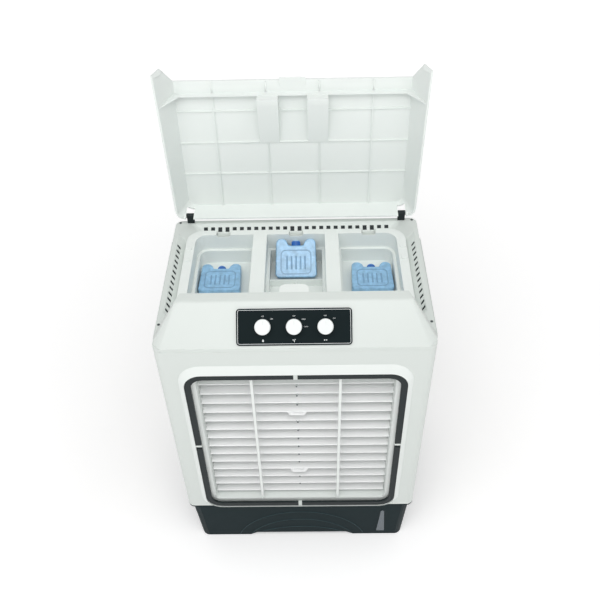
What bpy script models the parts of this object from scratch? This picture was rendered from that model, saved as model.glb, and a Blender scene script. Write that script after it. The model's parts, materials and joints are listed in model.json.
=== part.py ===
"""Room evaporative cooler: a white cabinet on a dark water tank, with a tilting louvre grille,
swinging vanes, an axial fan, three cooling pads, an ice tray under a hinged lid and three knobs."""

import math

import bmesh
import bpy
from mathutils import Matrix, Vector

OBJECT_NAME = "evaporative_cooler"

# Overall sizes, in metres. The front faces -Y, the floor is z = 0.
WIDTH = 0.660
DEPTH = 0.480
SHOULDER = 0.886
TANK_HEIGHT = 0.206
CORNER = 0.020
WALL = 0.004
GAP = 0.0003
RUN_GAP = 0.0005
MERGE = 0.000005

# Water tank.
TANK_INSET = 0.008
TANK_TAPER = 0.011
TANK_CORNER = 0.022
TANK_FLANGE = 0.005
TANK_FLOOR = 0.020
TANK_SKIRT = 0.030
KEEL_HALF = 0.030
ARCH_HALF = 0.160
ARCH_LEAN = 0.022
ARCH_RISE = 0.015
ARCH_DEEP = 0.022
WINDOW_IN = 0.086
WINDOW_WIDE = 0.025
WINDOW_NARROW = 0.010
WINDOW_LOW = 0.0225
WINDOW_TALL = 0.130
WINDOW_PROUD = 0.001
PLUG_RADIUS = 0.014
PLUG_HEAD = 0.021
PLUG_IN = 0.130
PLUG_Z = 0.045

# Front grille.
BORDER_HALF = 0.2695
BORDER_LOW = 0.212
BORDER_HIGH = 0.796
BORDER_STROKE = 0.016
BORDER_PROUD = 0.003
BORDER_SINK = 0.004
BORDER_CORNER = 0.045
NOTCH = 0.009
DUCT_SIDE = 0.0105
DUCT_DROP = 0.010
DUCT_DEEP = 0.112
BAR_SHARE = 4 / 9
BAR_WIDE = 0.007
BAR_FRONT = 0.004
BAR_BACK = 0.011
BLADES = 14
BLADE_HEAD = 0.0359
BLADE_FOOT = 0.01666
BLADE_CHORD = 0.034
BLADE_THICK = 0.0032
BLADE_END_GAP = 0.002
PIVOT_DEEP = 0.037
PIN_RADIUS = 0.0025
LINK_ARM = 0.0125
LINK_PIN = 0.0015
LINK_WIDE = 0.005
TAB_HALF = 0.026
TAB_TIP_HALF = 0.0182
TAB_OUT = 0.010

# Swinging vanes.
VANES = 8
VANE_SIDE = 0.043
VANE_DEEP = 0.086
VANE_CHORD = 0.040
VANE_THICK = 0.0026
VANE_PIN = 0.0025
VANE_ARM = 0.016
VANE_LINK_WIDE = 0.007
VANE_LINK_TALL = 0.004
CRANK_SIDE = 0.035
CRANK_TALL = 0.006
SWING_MOTOR_RADIUS = 0.022
SWING_MOTOR_TALL = 0.016

# Fan.
FAN_Z = 0.500
FAN_RADIUS = 0.186
FAN_FRONT = 0.150
FAN_DEEP = 0.055
FAN_BLADES = 5
ROOT_CHORD = 0.055
TIP_CHORD = 0.095
ROOT_PITCH = 48.0
TIP_PITCH = 24.0
HUB_RADIUS = 0.045
COLLAR_RADIUS = 0.196
COLLAR_WALL = 0.004
SHROUD_DEEP = 0.136
MOTOR_RADIUS = 0.055
MOTOR_LONG = 0.100
SHAFT_RADIUS = 0.006
SPIDER_WIDE = 0.016
SPIDER_THICK = 0.006
COLLAR_LONG = 0.0765
PLENUM_IN = 0.0075
PLENUM_FOOT = 0.0015
PLENUM_HEAD = 0.013
PLENUM_WALL = 0.003

# Pads and their panels.
PANEL_LOW = 0.300
PANEL_TOP_GAP = 0.012
PANEL_HALF = 0.185
REAR_PANEL_HALF = 0.240
PANEL_PROUD = 0.008
PANEL_FRAME = 0.022
PANEL_SLATS = 9
SLAT_TALL = 0.018
PAD_THICK = 0.024
PAD_LOW = 0.318
PAD_TOP = 0.812

# Water path.
TROUGH_LOW = 0.818
TROUGH_TALL = 0.024
TROUGH_WALL = 0.003
TROUGH_WIDE = 0.024
TROUGH_FRONT = -0.172
HOSE_RADIUS = 0.008
HOSE_IN = 0.150
HOSE_CLEAR = 0.005
PUMP_SIZE = 0.060
PUMP_TALL = 0.085

# Top deck, console and controls.
RIM_FLAT = 0.012
DECK_TALL = 0.010
WELL_SLOPE = 0.021
WELL_CORNER = 0.046
WELL_DEEP = 0.018
LEDGE = 0.012
SLOT_PITCH = 0.0198
SLOT_WIDE = 0.011
SLOT_HEAD = 0.0075
SLOT_FOOT = 0.0165
REAR_SLOTS = 26
SIDE_SLOTS = 12
SIDE_SLOT_PITCH = 0.0232
SIDE_SLOT_REAR = 0.094
CONSOLE_DEEP = 0.106
CONSOLE_TALL = 0.078
CONSOLE_SLOPE = 45.0
CREASE = 0.074
HIP_START = 0.044
CONSOLE_REAR_IN = 0.034
CREASE_IN = 0.054
CREASE_REAR_IN = 0.062
CREASE_HIP = 0.085
CONSOLE_WALL = 0.004
PANEL_UP = 0.0497
PANEL_WIDE = 0.266
PANEL_LONG = 0.085
PANEL_THICK = 0.003
KNOB_RADIUS = 0.019
KNOB_TALL = 0.018
KNOB_FACE = 0.0163
KNOB_EDGE = 0.0175
POINTER_HALF = 0.0152
KNOB_PITCH = 0.0715
KNOB_SHAFT = 0.003
SWITCH_DEEP = 0.022

# Ice tray and packs.
TRAY_FLANGE = 0.003
TRAY_RIM = 0.008
TRAY_CORNER = 0.043
POCKET_CORNER = 0.030
CROSS_WALL = 0.315
CROSS_WALL_TALL = 0.022
TRAY_FLOOR = 0.098
TRAY_WALL = 0.003
TRAY_STEP = 0.056
TRAY_LEDGE = 0.008
POCKET_REAR = 0.424
POCKET_FRONT = 0.122
CENTRE_POCKET = 0.078
SIDE_POCKET_IN = 0.115
SIDE_POCKET_OUT = 0.270
PACK_WIDE = 0.106
PACK_FOOT = 0.112
PACK_LONG = 0.105
PACK_THICK = 0.028
PACK_EAR = 0.018
EAR_INNER = 0.024
EAR_FLARE = 0.004
PACK_ROUND = 0.007
PACK_BEVEL = 0.004
PACK_X = 0.203
CAP_WIDE = 0.022
PACK_REAR = 0.378
LEAN = 42.0

# Lid and hinges.
LID_IN = 0.001
LID_REAR_IN = 0.0065
LID_TOP_IN = 0.033
LID_TALL = 0.084
LID_WALL = 0.0035
LID_DROP = 0.023
LID_CORNER = 0.024
LID_FRONT = 0.1085
LID_REAR_GAP = 0.006
LID_REAR_LEAN = 0.004
LID_LIFT = 0.0016
EAR_TIP = 0.0537
EAR_RISE = 0.0375
LID_OPEN = 90.0
HINGE_SET = -0.0015
HINGE_RISE = 0.022
HINGE_IN = 0.042
HINGE_WIDE = 0.019
HINGE_PIN = 0.0025
LUG = 0.007
EYE_RADIUS = 0.0063
HINGE_SLOT_TALL = 0.044
RIB_TALL = 0.005
RIB_THICK = 0.003
CROSS_RIBS = (0.1885, 0.2764, 0.3676)
LONG_RIBS = (-0.200, -0.066, 0.066, 0.200)
SHELF_PLACE = 0.1415
SHELF_TALL = 0.018
PILLAR_X = 0.062
PILLAR_HALF = 0.026
PILLAR_TALL = 0.040

# Cord inlet.
GLAND_IN = 0.110
GLAND_Z = 0.250
GLAND_RADIUS = 0.011
GLAND_FLANGE = 0.0165
GLAND_BORE = 0.0044

WHITE = ("#EEF1EF", 0.38, 0.0)
GREY_WHITE = ("#DDE1DF", 0.42, 0.0)
CHARCOAL = ("#2B3234", 0.45, 0.0)
BLACK = ("#1B201F", 0.35, 0.0)
ICE_BLUE = ("#97C4EA", 0.30, 0.0)
PAD_BROWN = ("#9A7B4F", 0.90, 0.0)
STEEL = ("#9EA3A6", 0.35, 0.9)
SMOKE = ("#76848F", 0.15, 0.0)

FRONT = -DEPTH / 2
HALF = WIDTH / 2
BACK = DEPTH / 2
CABINET_TOP = SHOULDER - DECK_TALL - GAP
WINDOW_X = HALF - WINDOW_IN
PLUG_X = -HALF + PLUG_IN
HOSE_X = HALF - HOSE_IN
GLAND_X = -HALF + GLAND_IN
DUCT_HALF = BORDER_HALF - BORDER_STROKE - DUCT_SIDE
BAR_X = DUCT_HALF * BAR_SHARE
VANE_PITCH = 2 * (DUCT_HALF - VANE_SIDE) / VANES
CRANK_X = DUCT_HALF - CRANK_SIDE
PLENUM_HALF = BORDER_HALF - PLENUM_IN
PLENUM_LOW = BORDER_LOW + PLENUM_FOOT
PLENUM_HIGH = BORDER_HIGH - PLENUM_HEAD
CONSOLE_REAR_HALF = HALF - CONSOLE_REAR_IN
CREASE_HALF = HALF - CREASE_IN
CREASE_REAR_HALF = HALF - CREASE_REAR_IN
LID_HALF = HALF - LID_IN
LID_REAR_HALF = HALF - LID_REAR_IN
LID_TOP_HALF = HALF - LID_TOP_IN
LID_REAR = DEPTH - LID_REAR_GAP
LID_FALL = LID_DROP / (LID_REAR - LID_FRONT)
HINGE_REAR = LID_REAR - HINGE_SET
HINGE_X = HALF - HINGE_IN


def clear_scene():
    for old in list(bpy.data.objects):
        bpy.data.objects.remove(old, do_unlink=True)


def collection(name):
    made = bpy.data.collections.new(name)
    bpy.context.scene.collection.children.link(made)
    return made


clear_scene()
PARTS = collection(OBJECT_NAME)
CUTTERS = collection("cutters")


def linear(value):
    return value / 12.92 if value <= 0.04045 else ((value + 0.055) / 1.055) ** 2.4


def paint(obj, look):
    """Give a part its own Principled material from a (hex colour, roughness, metallic) look."""
    hex_colour, roughness, metallic = look
    material = bpy.data.materials.new(obj.name)
    material.use_nodes = True
    shader = material.node_tree.nodes["Principled BSDF"]
    channels = [linear(int(hex_colour[i:i + 2], 16) / 255) for i in (1, 3, 5)]
    shader.inputs["Base Color"].default_value = (*channels, 1.0)
    shader.inputs["Roughness"].default_value = roughness
    shader.inputs["Metallic"].default_value = metallic
    obj.data.materials.clear()
    obj.data.materials.append(material)


def place(name, mesh):
    obj = bpy.data.objects.new(name, mesh)
    PARTS.objects.link(obj)
    return obj


def from_bmesh(name, bm):
    bmesh.ops.recalc_face_normals(bm, faces=bm.faces)
    mesh = bpy.data.meshes.new(name)
    bm.to_mesh(mesh)
    bm.free()
    return place(name, mesh)


def boxes(name, corners):
    """One object of axis-aligned boxes, each given by its low and high corner."""
    bm = bmesh.new()
    for low, high in corners:
        low, high = Vector(low), Vector(high)
        size = Matrix.Diagonal((*(high - low), 1.0))
        bmesh.ops.create_cube(bm, size=1.0, matrix=Matrix.Translation((low + high) / 2) @ size)
    return from_bmesh(name, bm)


def box(name, low, high):
    return boxes(name, [(low, high)])


def rods(name, radius, spans, sides=12):
    """One object of round rods, each given by its start and end point."""
    bm = bmesh.new()
    for start, end in spans:
        start, end = Vector(start), Vector(end)
        run = end - start
        turn = run.to_track_quat("Z", "Y").to_matrix().to_4x4()
        bmesh.ops.create_cone(bm, cap_ends=True, segments=sides, radius1=radius, radius2=radius,
                              depth=run.length, matrix=Matrix.Translation((start + end) / 2) @ turn)
    return from_bmesh(name, bm)


def rod(name, radius, start, end, sides=16):
    return rods(name, radius, [(start, end)], sides)


def loft(name, rings):
    """A closed solid through a row of outlines that have the same number of points."""
    bm = bmesh.new()
    rows = [[bm.verts.new(point) for point in ring] for ring in rings]
    count = len(rows[0])
    for low, high in zip(rows, rows[1:]):
        for i in range(count):
            j = (i + 1) % count
            bm.faces.new((low[i], low[j], high[j], high[i]))
    bm.faces.new(rows[0])
    bm.faces.new(rows[-1])
    bm.normal_update()
    bmesh.ops.triangulate(bm, faces=bm.faces)
    return from_bmesh(name, bm)


def arc(cx, cy, radius, start, steps=4):
    """A quarter turn of points, counter-clockwise from a start angle in degrees."""
    turns = [math.radians(start + 90 * i / steps) for i in range(steps + 1)]
    return [(cx + radius * math.cos(turn), cy + radius * math.sin(turn)) for turn in turns]


def rounded(x0, x1, y0, y1, radius, far_radius=None):
    """A rectangle's outline with round corners, counter-clockwise; those at y1 may have their own radius."""
    far = far_radius or radius
    return (arc(x1 - far, y1 - far, far, 0) + arc(x0 + far, y1 - far, far, 90)
            + arc(x0 + radius, y0 + radius, radius, 180) + arc(x1 - radius, y0 + radius, radius, 270))


def circle(cx, cy, radius, sides=24):
    turns = [2 * math.pi * i / sides for i in range(sides)]
    return [(cx + radius * math.cos(turn), cy + radius * math.sin(turn)) for turn in turns]


def at_height(outline, z):
    return [(x, y, z) for x, y in outline]


AXIS_TURN = {
    "X": Matrix(((0, 0, 1, 0), (1, 0, 0, 0), (0, 1, 0, 0), (0, 0, 0, 1))),
    "Y": Matrix.Rotation(math.pi / 2, 4, "X"),
    "Z": Matrix.Identity(4),
}


def plate(name, outlines, axis, low, high):
    """A flat outline with any holes, filled and extruded from low to high along an axis.
    Outline points are (y, z) for X, (x, z) for Y and (x, y) for Z."""
    curve = bpy.data.curves.new(name, "CURVE")
    curve.dimensions = "2D"
    curve.fill_mode = "BOTH"
    curve.extrude = (high - low) / 2
    for outline in outlines:
        spline = curve.splines.new("POLY")
        spline.points.add(len(outline) - 1)
        for point, (a, b) in zip(spline.points, outline):
            point.co = (a, b, 0, 1)
        spline.use_cyclic_u = True
    obj = place(name, curve)
    bpy.context.view_layer.update()
    mesh = bpy.data.meshes.new_from_object(obj.evaluated_get(bpy.context.evaluated_depsgraph_get()))
    bpy.data.objects.remove(obj, do_unlink=True)
    shift = Vector((0, 0, 0))
    shift["XYZ".index(axis)] = (low + high) / 2
    bm = bmesh.new()
    bm.from_mesh(mesh)
    bmesh.ops.remove_doubles(bm, verts=bm.verts, dist=MERGE)
    bmesh.ops.transform(bm, matrix=Matrix.Translation(shift) @ AXIS_TURN[axis], verts=bm.verts)
    return from_bmesh(name, bm)


def turned(name, profile, sides=24):
    """A profile of (radius, height) points, from the top down its outer side, turned about Z."""
    bm = bmesh.new()
    verts = [bm.verts.new((radius, 0, height)) for radius, height in profile]
    for upper, lower in zip(verts, verts[1:]):
        bm.edges.new((upper, lower))
    mesh = bpy.data.meshes.new(name)
    bm.to_mesh(mesh)
    bm.free()
    obj = place(name, mesh)
    screw = obj.modifiers.new("turn", "SCREW")
    screw.steps = sides
    screw.render_steps = sides
    screw.use_merge_vertices = True
    screw.merge_threshold = MERGE
    bake(obj)
    return obj


def combine(target, operation, *tools):
    """Add a Boolean for each tool and put the tool away among the cutters."""
    for tool in tools:
        modifier = target.modifiers.new(tool.name, "BOOLEAN")
        modifier.operation = operation
        modifier.solver = "EXACT"
        modifier.object = tool
        PARTS.objects.unlink(tool)
        CUTTERS.objects.link(tool)
        tool.hide_render = True
        tool.display_type = "WIRE"
    return target


def cut(target, *tools):
    return combine(target, "DIFFERENCE", *tools)


def fuse(target, *tools):
    return combine(target, "UNION", *tools)


def bake(obj):
    """Replace an object's mesh with its evaluated one, so that it can be moved by itself."""
    bpy.context.view_layer.update()
    mesh = bpy.data.meshes.new_from_object(obj.evaluated_get(bpy.context.evaluated_depsgraph_get()))
    obj.modifiers.clear()
    bm = bmesh.new()
    bm.from_mesh(mesh)
    bmesh.ops.remove_doubles(bm, verts=bm.verts, dist=MERGE)
    bmesh.ops.recalc_face_normals(bm, faces=bm.faces)
    bm.to_mesh(mesh)
    bm.free()
    obj.data = mesh
    return obj


def pivot(obj, point):
    """Put a moving piece's origin on its joint axis without moving the piece."""
    bake(obj)
    obj.data.transform(Matrix.Translation(-Vector(point)))
    obj.location = point
    return obj


def tank_inset(z):
    """How far the tank's wall stands in from the cabinet's: it tapers in a little towards the floor."""
    return TANK_INSET + TANK_TAPER * (1 - z / TANK_HEIGHT)


def tank_outline(z, shrink=0.0, radius=TANK_CORNER):
    inset = tank_inset(z) + shrink
    outline = rounded(-HALF + inset, HALF - inset, FRONT + inset, BACK - inset, radius - shrink)
    return at_height(outline, z)


def build_tank():
    top = TANK_HEIGHT - GAP
    tank = loft("water_tank", [tank_outline(0), tank_outline(top)])
    flange_edge = rounded(-HALF, HALF, FRONT, BACK, CORNER)
    seam = TANK_INSET + WALL / 2
    flange_hole = rounded(-HALF + seam, HALF - seam, FRONT + seam, BACK - seam, TANK_CORNER - WALL / 2)
    flange = plate("tank_flange", [flange_edge, flange_hole], "Z", top - TANK_FLANGE, top)
    fuse(tank, flange)
    inside = loft("tank_inside", [tank_outline(TANK_FLOOR, WALL),
                                  tank_outline(TANK_HEIGHT + WALL, WALL)])
    side = HALF - TANK_INSET - TANK_TAPER - TANK_SKIRT
    front = FRONT + TANK_INSET + TANK_TAPER + TANK_SKIRT
    under = boxes("tank_underside", [
        ((KEEL_HALF, front, -WALL), (side, -front, TANK_FLOOR - WALL)),
        ((-side, front, -WALL), (-KEEL_HALF, -front, TANK_FLOOR - WALL))])
    arch_top = ARCH_HALF - ARCH_LEAN
    arch = [(-ARCH_HALF, -WALL), (ARCH_HALF, -WALL), (ARCH_HALF, 0), (arch_top, ARCH_RISE),
            (-arch_top, ARCH_RISE), (-ARCH_HALF, 0)]
    arch_cut = plate("tank_arch", [arch], "Y", FRONT, FRONT + TANK_INSET + ARCH_DEEP)
    window_hole = plate("window_hole", [window_outline(GAP)], "Y", FRONT, FRONT + TANK_INSET + TANK_SKIRT)
    plug_hole = rod("plug_hole", PLUG_RADIUS + RUN_GAP, (PLUG_X, BACK - TANK_INSET - TANK_SKIRT, PLUG_Z),
                    (PLUG_X, BACK, PLUG_Z))
    cut(tank, inside, under, arch_cut, window_hole, plug_hole)
    paint(tank, CHARCOAL)


def window_outline(grow=0.0):
    """A bullet shape: sides that draw together upwards, and a round top."""
    half = WINDOW_WIDE / 2 + grow
    tip = WINDOW_NARROW / 2 + grow
    shoulder = WINDOW_LOW + WINDOW_TALL - WINDOW_NARROW / 2
    points = [(WINDOW_X - half, WINDOW_LOW - grow), (WINDOW_X + half, WINDOW_LOW - grow)]
    points += [(WINDOW_X + tip * math.cos(math.radians(30 * i)),
                shoulder + tip * math.sin(math.radians(30 * i))) for i in range(7)]
    return points


def build_tank_fittings():
    window = plate("level_window", [window_outline()], "Y", FRONT - WINDOW_PROUD, FRONT + WALL)
    for vertex in window.data.vertices:
        vertex.co.y += tank_inset(vertex.co.z)
    paint(window, SMOKE)
    wall_back = BACK - tank_inset(PLUG_Z + PLUG_HEAD)
    plug = rod("drain_plug", PLUG_RADIUS, (PLUG_X, wall_back - TANK_TAPER - WALL - PLUG_RADIUS, PLUG_Z),
               (PLUG_X, wall_back + PLUG_RADIUS / 2, PLUG_Z))
    head = rod("plug_head", PLUG_HEAD, (PLUG_X, wall_back + GAP, PLUG_Z),
               (PLUG_X, wall_back + PLUG_RADIUS, PLUG_Z), 12)
    fuse(plug, head)
    pivot(plug, (PLUG_X, wall_back, PLUG_Z))
    paint(plug, CHARCOAL)


def build_cabinet():
    outer = rounded(-HALF, HALF, FRONT, BACK, CORNER)
    inner = rounded(-HALF + WALL, HALF - WALL, FRONT + WALL, BACK - WALL, CORNER - WALL)
    cabinet = plate("cabinet", [outer, inner], "Z", TANK_HEIGHT, CABINET_TOP)
    seat = TANK_INSET + WALL * 2
    foot_hole = rounded(-HALF + seat, HALF - seat, FRONT + seat, BACK - seat, TANK_CORNER)
    tuck = WALL / 2
    foot_edge = rounded(-HALF + tuck, HALF - tuck, FRONT + tuck, BACK - tuck, CORNER - tuck)
    foot = plate("cabinet_foot", [foot_edge, foot_hole], "Z", TANK_HEIGHT, TANK_HEIGHT + WALL)
    fuse(cabinet, foot)
    grille_hole = plate("grille_hole", [border_outline(GAP)], "Y", FRONT - WALL, FRONT + WALL * 2)
    panel_top = CABINET_TOP - PANEL_TOP_GAP - PANEL_FRAME / 2
    low = PANEL_LOW + PANEL_FRAME / 2
    side_half = PANEL_HALF - PANEL_FRAME / 2
    rear_half = REAR_PANEL_HALF - PANEL_FRAME / 2
    pad_holes = boxes("pad_holes", [
        ((HALF - WALL * 2, -side_half, low), (HALF + WALL, side_half, panel_top)),
        ((-HALF - WALL, -side_half, low), (-HALF + WALL * 2, side_half, panel_top)),
        ((-rear_half, BACK - WALL * 2, low), (rear_half, BACK + WALL, panel_top))])
    gland_hole = rod("gland_hole", GLAND_RADIUS + GAP, (GLAND_X, BACK - WALL * 2, GLAND_Z),
                     (GLAND_X, BACK + WALL, GLAND_Z), 12)
    cut(cabinet, grille_hole, pad_holes, gland_hole)
    paint(cabinet, WHITE)
    gland = rod("cord_gland", GLAND_RADIUS, (GLAND_X, BACK - WALL * 3, GLAND_Z),
                (GLAND_X, BACK + WALL * 2, GLAND_Z), 12)
    flange = rod("gland_flange", GLAND_FLANGE, (GLAND_X, BACK + GAP, GLAND_Z),
                 (GLAND_X, BACK + WALL, GLAND_Z), 12)
    bore = rod("gland_bore", GLAND_BORE, (GLAND_X, BACK - WALL * 4, GLAND_Z),
               (GLAND_X, BACK + WALL * 3, GLAND_Z), 12)
    fuse(gland, flange)
    cut(gland, bore)
    paint(gland, BLACK)


def border_outline(grow=0.0, radius=BORDER_CORNER):
    return rounded(-BORDER_HALF - grow, BORDER_HALF + grow, BORDER_LOW - grow, BORDER_HIGH + grow,
                   radius + grow)


def blade_height(k):
    return DUCT_HIGH - BLADE_HEAD - BLADE_PITCH * k


PIVOT_Y = FRONT + PIVOT_DEEP
VANE_Y = FRONT + VANE_DEEP
DUCT_LOW = BORDER_LOW + BORDER_STROKE + DUCT_DROP
DUCT_HIGH = BORDER_HIGH - BORDER_STROKE - DUCT_DROP
BLADE_PITCH = (DUCT_HIGH - BLADE_HEAD - DUCT_LOW - BLADE_FOOT) / (BLADES - 1)
LINK_Y = PIVOT_Y + LINK_ARM


def vane_x(i):
    return VANE_PITCH * (i - (VANES - 1) / 2)


def build_grille():
    ring_back = FRONT + BORDER_SINK
    border = plate("grille_border", [border_outline(), border_outline(-BORDER_STROKE)], "Y",
                   FRONT - BORDER_PROUD, ring_back - GAP)
    middle = (BORDER_LOW + BORDER_HIGH) / 2
    reach = BORDER_STROKE * 2
    groove = FRONT - BORDER_PROUD + BORDER_SINK / 2
    front = FRONT - BORDER_PROUD * 2
    notches = boxes("border_notches", [
        ((-NOTCH / 2, front, BORDER_HIGH - reach), (NOTCH / 2, groove, BORDER_HIGH + reach)),
        ((-NOTCH / 2, front, BORDER_LOW - reach), (NOTCH / 2, groove, BORDER_LOW + reach)),
        ((-BORDER_HALF - reach, front, middle - NOTCH / 2),
         (-BORDER_HALF + reach, groove, middle + NOTCH / 2)),
        ((BORDER_HALF - reach, front, middle - NOTCH / 2),
         (BORDER_HALF + reach, groove, middle + NOTCH / 2))])
    cut(border, notches)
    paint(border, BLACK)

    opening = rounded(-DUCT_HALF, DUCT_HALF, DUCT_LOW, DUCT_HIGH, DUCT_DROP)
    frame = plate("grille_frame", [border_outline(), opening], "Y", ring_back, ring_back + WALL)
    outer = rounded(-DUCT_HALF - WALL, DUCT_HALF + WALL, DUCT_LOW - WALL, DUCT_HIGH + WALL, DUCT_DROP + WALL)
    duct = plate("grille_duct", [outer, opening], "Y", ring_back + WALL / 2, FRONT + DUCT_DEEP)
    fuse(frame, duct)
    bars = boxes("grille_bars", [
        ((x - BAR_WIDE / 2, FRONT + BAR_FRONT + GAP, DUCT_LOW - WALL / 2),
         (x + BAR_WIDE / 2, FRONT + BAR_BACK, DUCT_HIGH + WALL / 2)) for x in (-BAR_X, BAR_X)])
    fuse(frame, bars)
    reach = DUCT_HALF + WALL * 2
    blade_holes = rods("blade_holes", PIN_RADIUS + GAP,
                       [((-reach, PIVOT_Y, blade_height(k)), (reach, PIVOT_Y, blade_height(k)))
                        for k in range(BLADES)], 8)
    vane_holes = rods("vane_holes", VANE_PIN + GAP,
                      [((vane_x(i), VANE_Y, DUCT_LOW - WALL * 2), (vane_x(i), VANE_Y, DUCT_HIGH + WALL * 2))
                       for i in range(VANES)], 8)
    crank_hole = rod("crank_hole", VANE_PIN + GAP, (CRANK_X, VANE_Y, DUCT_LOW - WALL * 2),
                     (CRANK_X, VANE_Y, DUCT_LOW + WALL), 8)
    cut(frame, blade_holes, vane_holes, crank_hole)
    paint(frame, WHITE)


def blade_mesh(with_tab):
    """A louvre blade at its own origin: its pivot lies along X."""
    half = BLADE_CHORD / 2
    thick = BLADE_THICK / 2
    length = DUCT_HALF - BLADE_END_GAP
    outline = [(-half, 0), (-half + thick, -thick), (half - thick * 2, -thick), (half, -thick / 2),
               (half, thick / 2), (half - thick * 2, thick), (-half + thick, thick)]
    blade = plate("blade", [outline], "X", -length, length)
    notch = box("blade_notch", (-LINK_WIDE, LINK_ARM - LINK_WIDE, -thick * 3),
                (LINK_WIDE, half + thick, thick * 3))
    cut(blade, notch)
    reach = DUCT_HALF + WALL
    pins = rods("blade_pins", PIN_RADIUS, [((-reach, 0, 0), (-length + WALL, 0, 0)),
                                           ((length - WALL, 0, 0), (reach, 0, 0))], 8)
    link_pin = rod("blade_link_pin", LINK_PIN, (-LINK_WIDE - thick, LINK_ARM, 0),
                   (LINK_WIDE + thick, LINK_ARM, 0), 8)
    fuse(blade, pins, link_pin)
    if with_tab:
        tab_edge = [(-TAB_HALF, thick - half), (TAB_HALF, thick - half), (TAB_TIP_HALF, -half - TAB_OUT),
                    (-TAB_TIP_HALF, -half - TAB_OUT)]
        tab = plate("blade_tab", [tab_edge], "Z", -thick / 2, thick / 2)
        fuse(blade, tab)
    bake(blade)
    mesh = blade.data
    bpy.data.objects.remove(blade, do_unlink=True)
    return mesh


def build_louvres():
    plain = blade_mesh(False)
    tabbed = blade_mesh(True)
    group = BLADES // 2
    driver = group // 2
    for k in range(BLADES):
        bank = "upper" if k < group else "lower"
        mesh = tabbed if k % group == driver else plain
        blade = place(f"louvre_{bank}_{k % group + 1}", mesh.copy())
        blade.location = (0, PIVOT_Y, blade_height(k))
        paint(blade, WHITE)
    for bank, first in (("upper", 0), ("lower", group)):
        top = blade_height(first) + LINK_WIDE
        bottom = blade_height(first + group - 1) - LINK_WIDE
        link = box(f"louvre_link_{bank}", (-LINK_WIDE / 2, LINK_Y - LINK_WIDE / 2, bottom),
                   (LINK_WIDE / 2, LINK_Y + LINK_WIDE / 2, top))
        heights = [blade_height(first + k) for k in range(group)]
        holes = rods(f"link_holes_{bank}", LINK_PIN + GAP,
                     [((-LINK_WIDE, LINK_Y, z), (LINK_WIDE, LINK_Y, z)) for z in heights], 8)
        cut(link, holes)
        pivot(link, (0, LINK_Y, blade_height(first + driver)))
        paint(link, GREY_WHITE)


CRANK_LOW = DUCT_LOW + RUN_GAP
VANE_LINK_LOW = CRANK_LOW + CRANK_TALL + RUN_GAP
VANE_LINK_HIGH = VANE_LINK_LOW + VANE_LINK_TALL
VANE_LINK_Y = VANE_Y + VANE_ARM


def build_vanes():
    half = VANE_CHORD / 2
    low = DUCT_LOW + RUN_GAP
    high = DUCT_HIGH - RUN_GAP
    step = VANE_LINK_HIGH + RUN_GAP
    inner = half - VANE_ARM + VANE_LINK_WIDE / 2
    for i in range(VANES):
        x = vane_x(i)
        outline = [(VANE_Y - half, low), (VANE_Y + inner, low), (VANE_Y + inner, step),
                   (VANE_Y + half, step), (VANE_Y + half, high), (VANE_Y - half, high)]
        vane = plate(f"swing_vane_{i + 1}", [outline], "X", x - VANE_THICK / 2, x + VANE_THICK / 2)
        pins = rods(f"vane_pins_{i + 1}", VANE_PIN,
                    [((x, VANE_Y, DUCT_LOW - WALL), (x, VANE_Y, low + WALL)),
                     ((x, VANE_Y, high - WALL), (x, VANE_Y, DUCT_HIGH + WALL))], 8)
        link_pin = rod(f"vane_link_pin_{i + 1}", LINK_PIN, (x, VANE_LINK_Y, VANE_LINK_LOW),
                       (x, VANE_LINK_Y, step + WALL), 8)
        fuse(vane, pins, link_pin)
        pivot(vane, (x, VANE_Y, low))
        paint(vane, WHITE)


def build_swing_drive():
    half = VANE_LINK_WIDE / 2
    link = box("swing_link", (vane_x(0) - VANE_LINK_WIDE, VANE_LINK_Y - half, VANE_LINK_LOW),
               (CRANK_X + VANE_LINK_WIDE, VANE_LINK_Y + half, VANE_LINK_HIGH))
    places = [vane_x(i) for i in range(VANES)] + [CRANK_X]
    holes = rods("swing_link_holes", LINK_PIN + GAP,
                 [((x, VANE_LINK_Y, VANE_LINK_LOW - WALL), (x, VANE_LINK_Y, VANE_LINK_HIGH + WALL))
                  for x in places], 8)
    cut(link, holes)
    pivot(link, (vane_x(0), VANE_LINK_Y, VANE_LINK_LOW))
    paint(link, GREY_WHITE)

    top = CRANK_LOW + CRANK_TALL
    crank = box("swing_crank", (CRANK_X - half, VANE_Y - half, CRANK_LOW),
                (CRANK_X + half, VANE_LINK_Y + half, top))
    shaft = rod("crank_shaft", VANE_PIN, (CRANK_X, VANE_Y, DUCT_LOW - WALL),
                (CRANK_X, VANE_Y, top - RUN_GAP), 8)
    pin = rod("crank_pin", LINK_PIN, (CRANK_X, VANE_LINK_Y, CRANK_LOW + RUN_GAP),
              (CRANK_X, VANE_LINK_Y, VANE_LINK_HIGH), 8)
    fuse(crank, shaft, pin)
    pivot(crank, (CRANK_X, VANE_Y, CRANK_LOW))
    paint(crank, GREY_WHITE)
    motor_top = DUCT_LOW - WALL - GAP
    motor = rod("swing_motor", SWING_MOTOR_RADIUS, (CRANK_X, VANE_Y, motor_top - SWING_MOTOR_TALL),
                (CRANK_X, VANE_Y, motor_top), 20)
    paint(motor, STEEL)


SHROUD_Y = FRONT + SHROUD_DEEP
SPIDER_BACK = SHROUD_Y + COLLAR_LONG
SPIDER_FRONT = SPIDER_BACK - SPIDER_THICK


def fan_point(y):
    return (0, y, FAN_Z)


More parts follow.
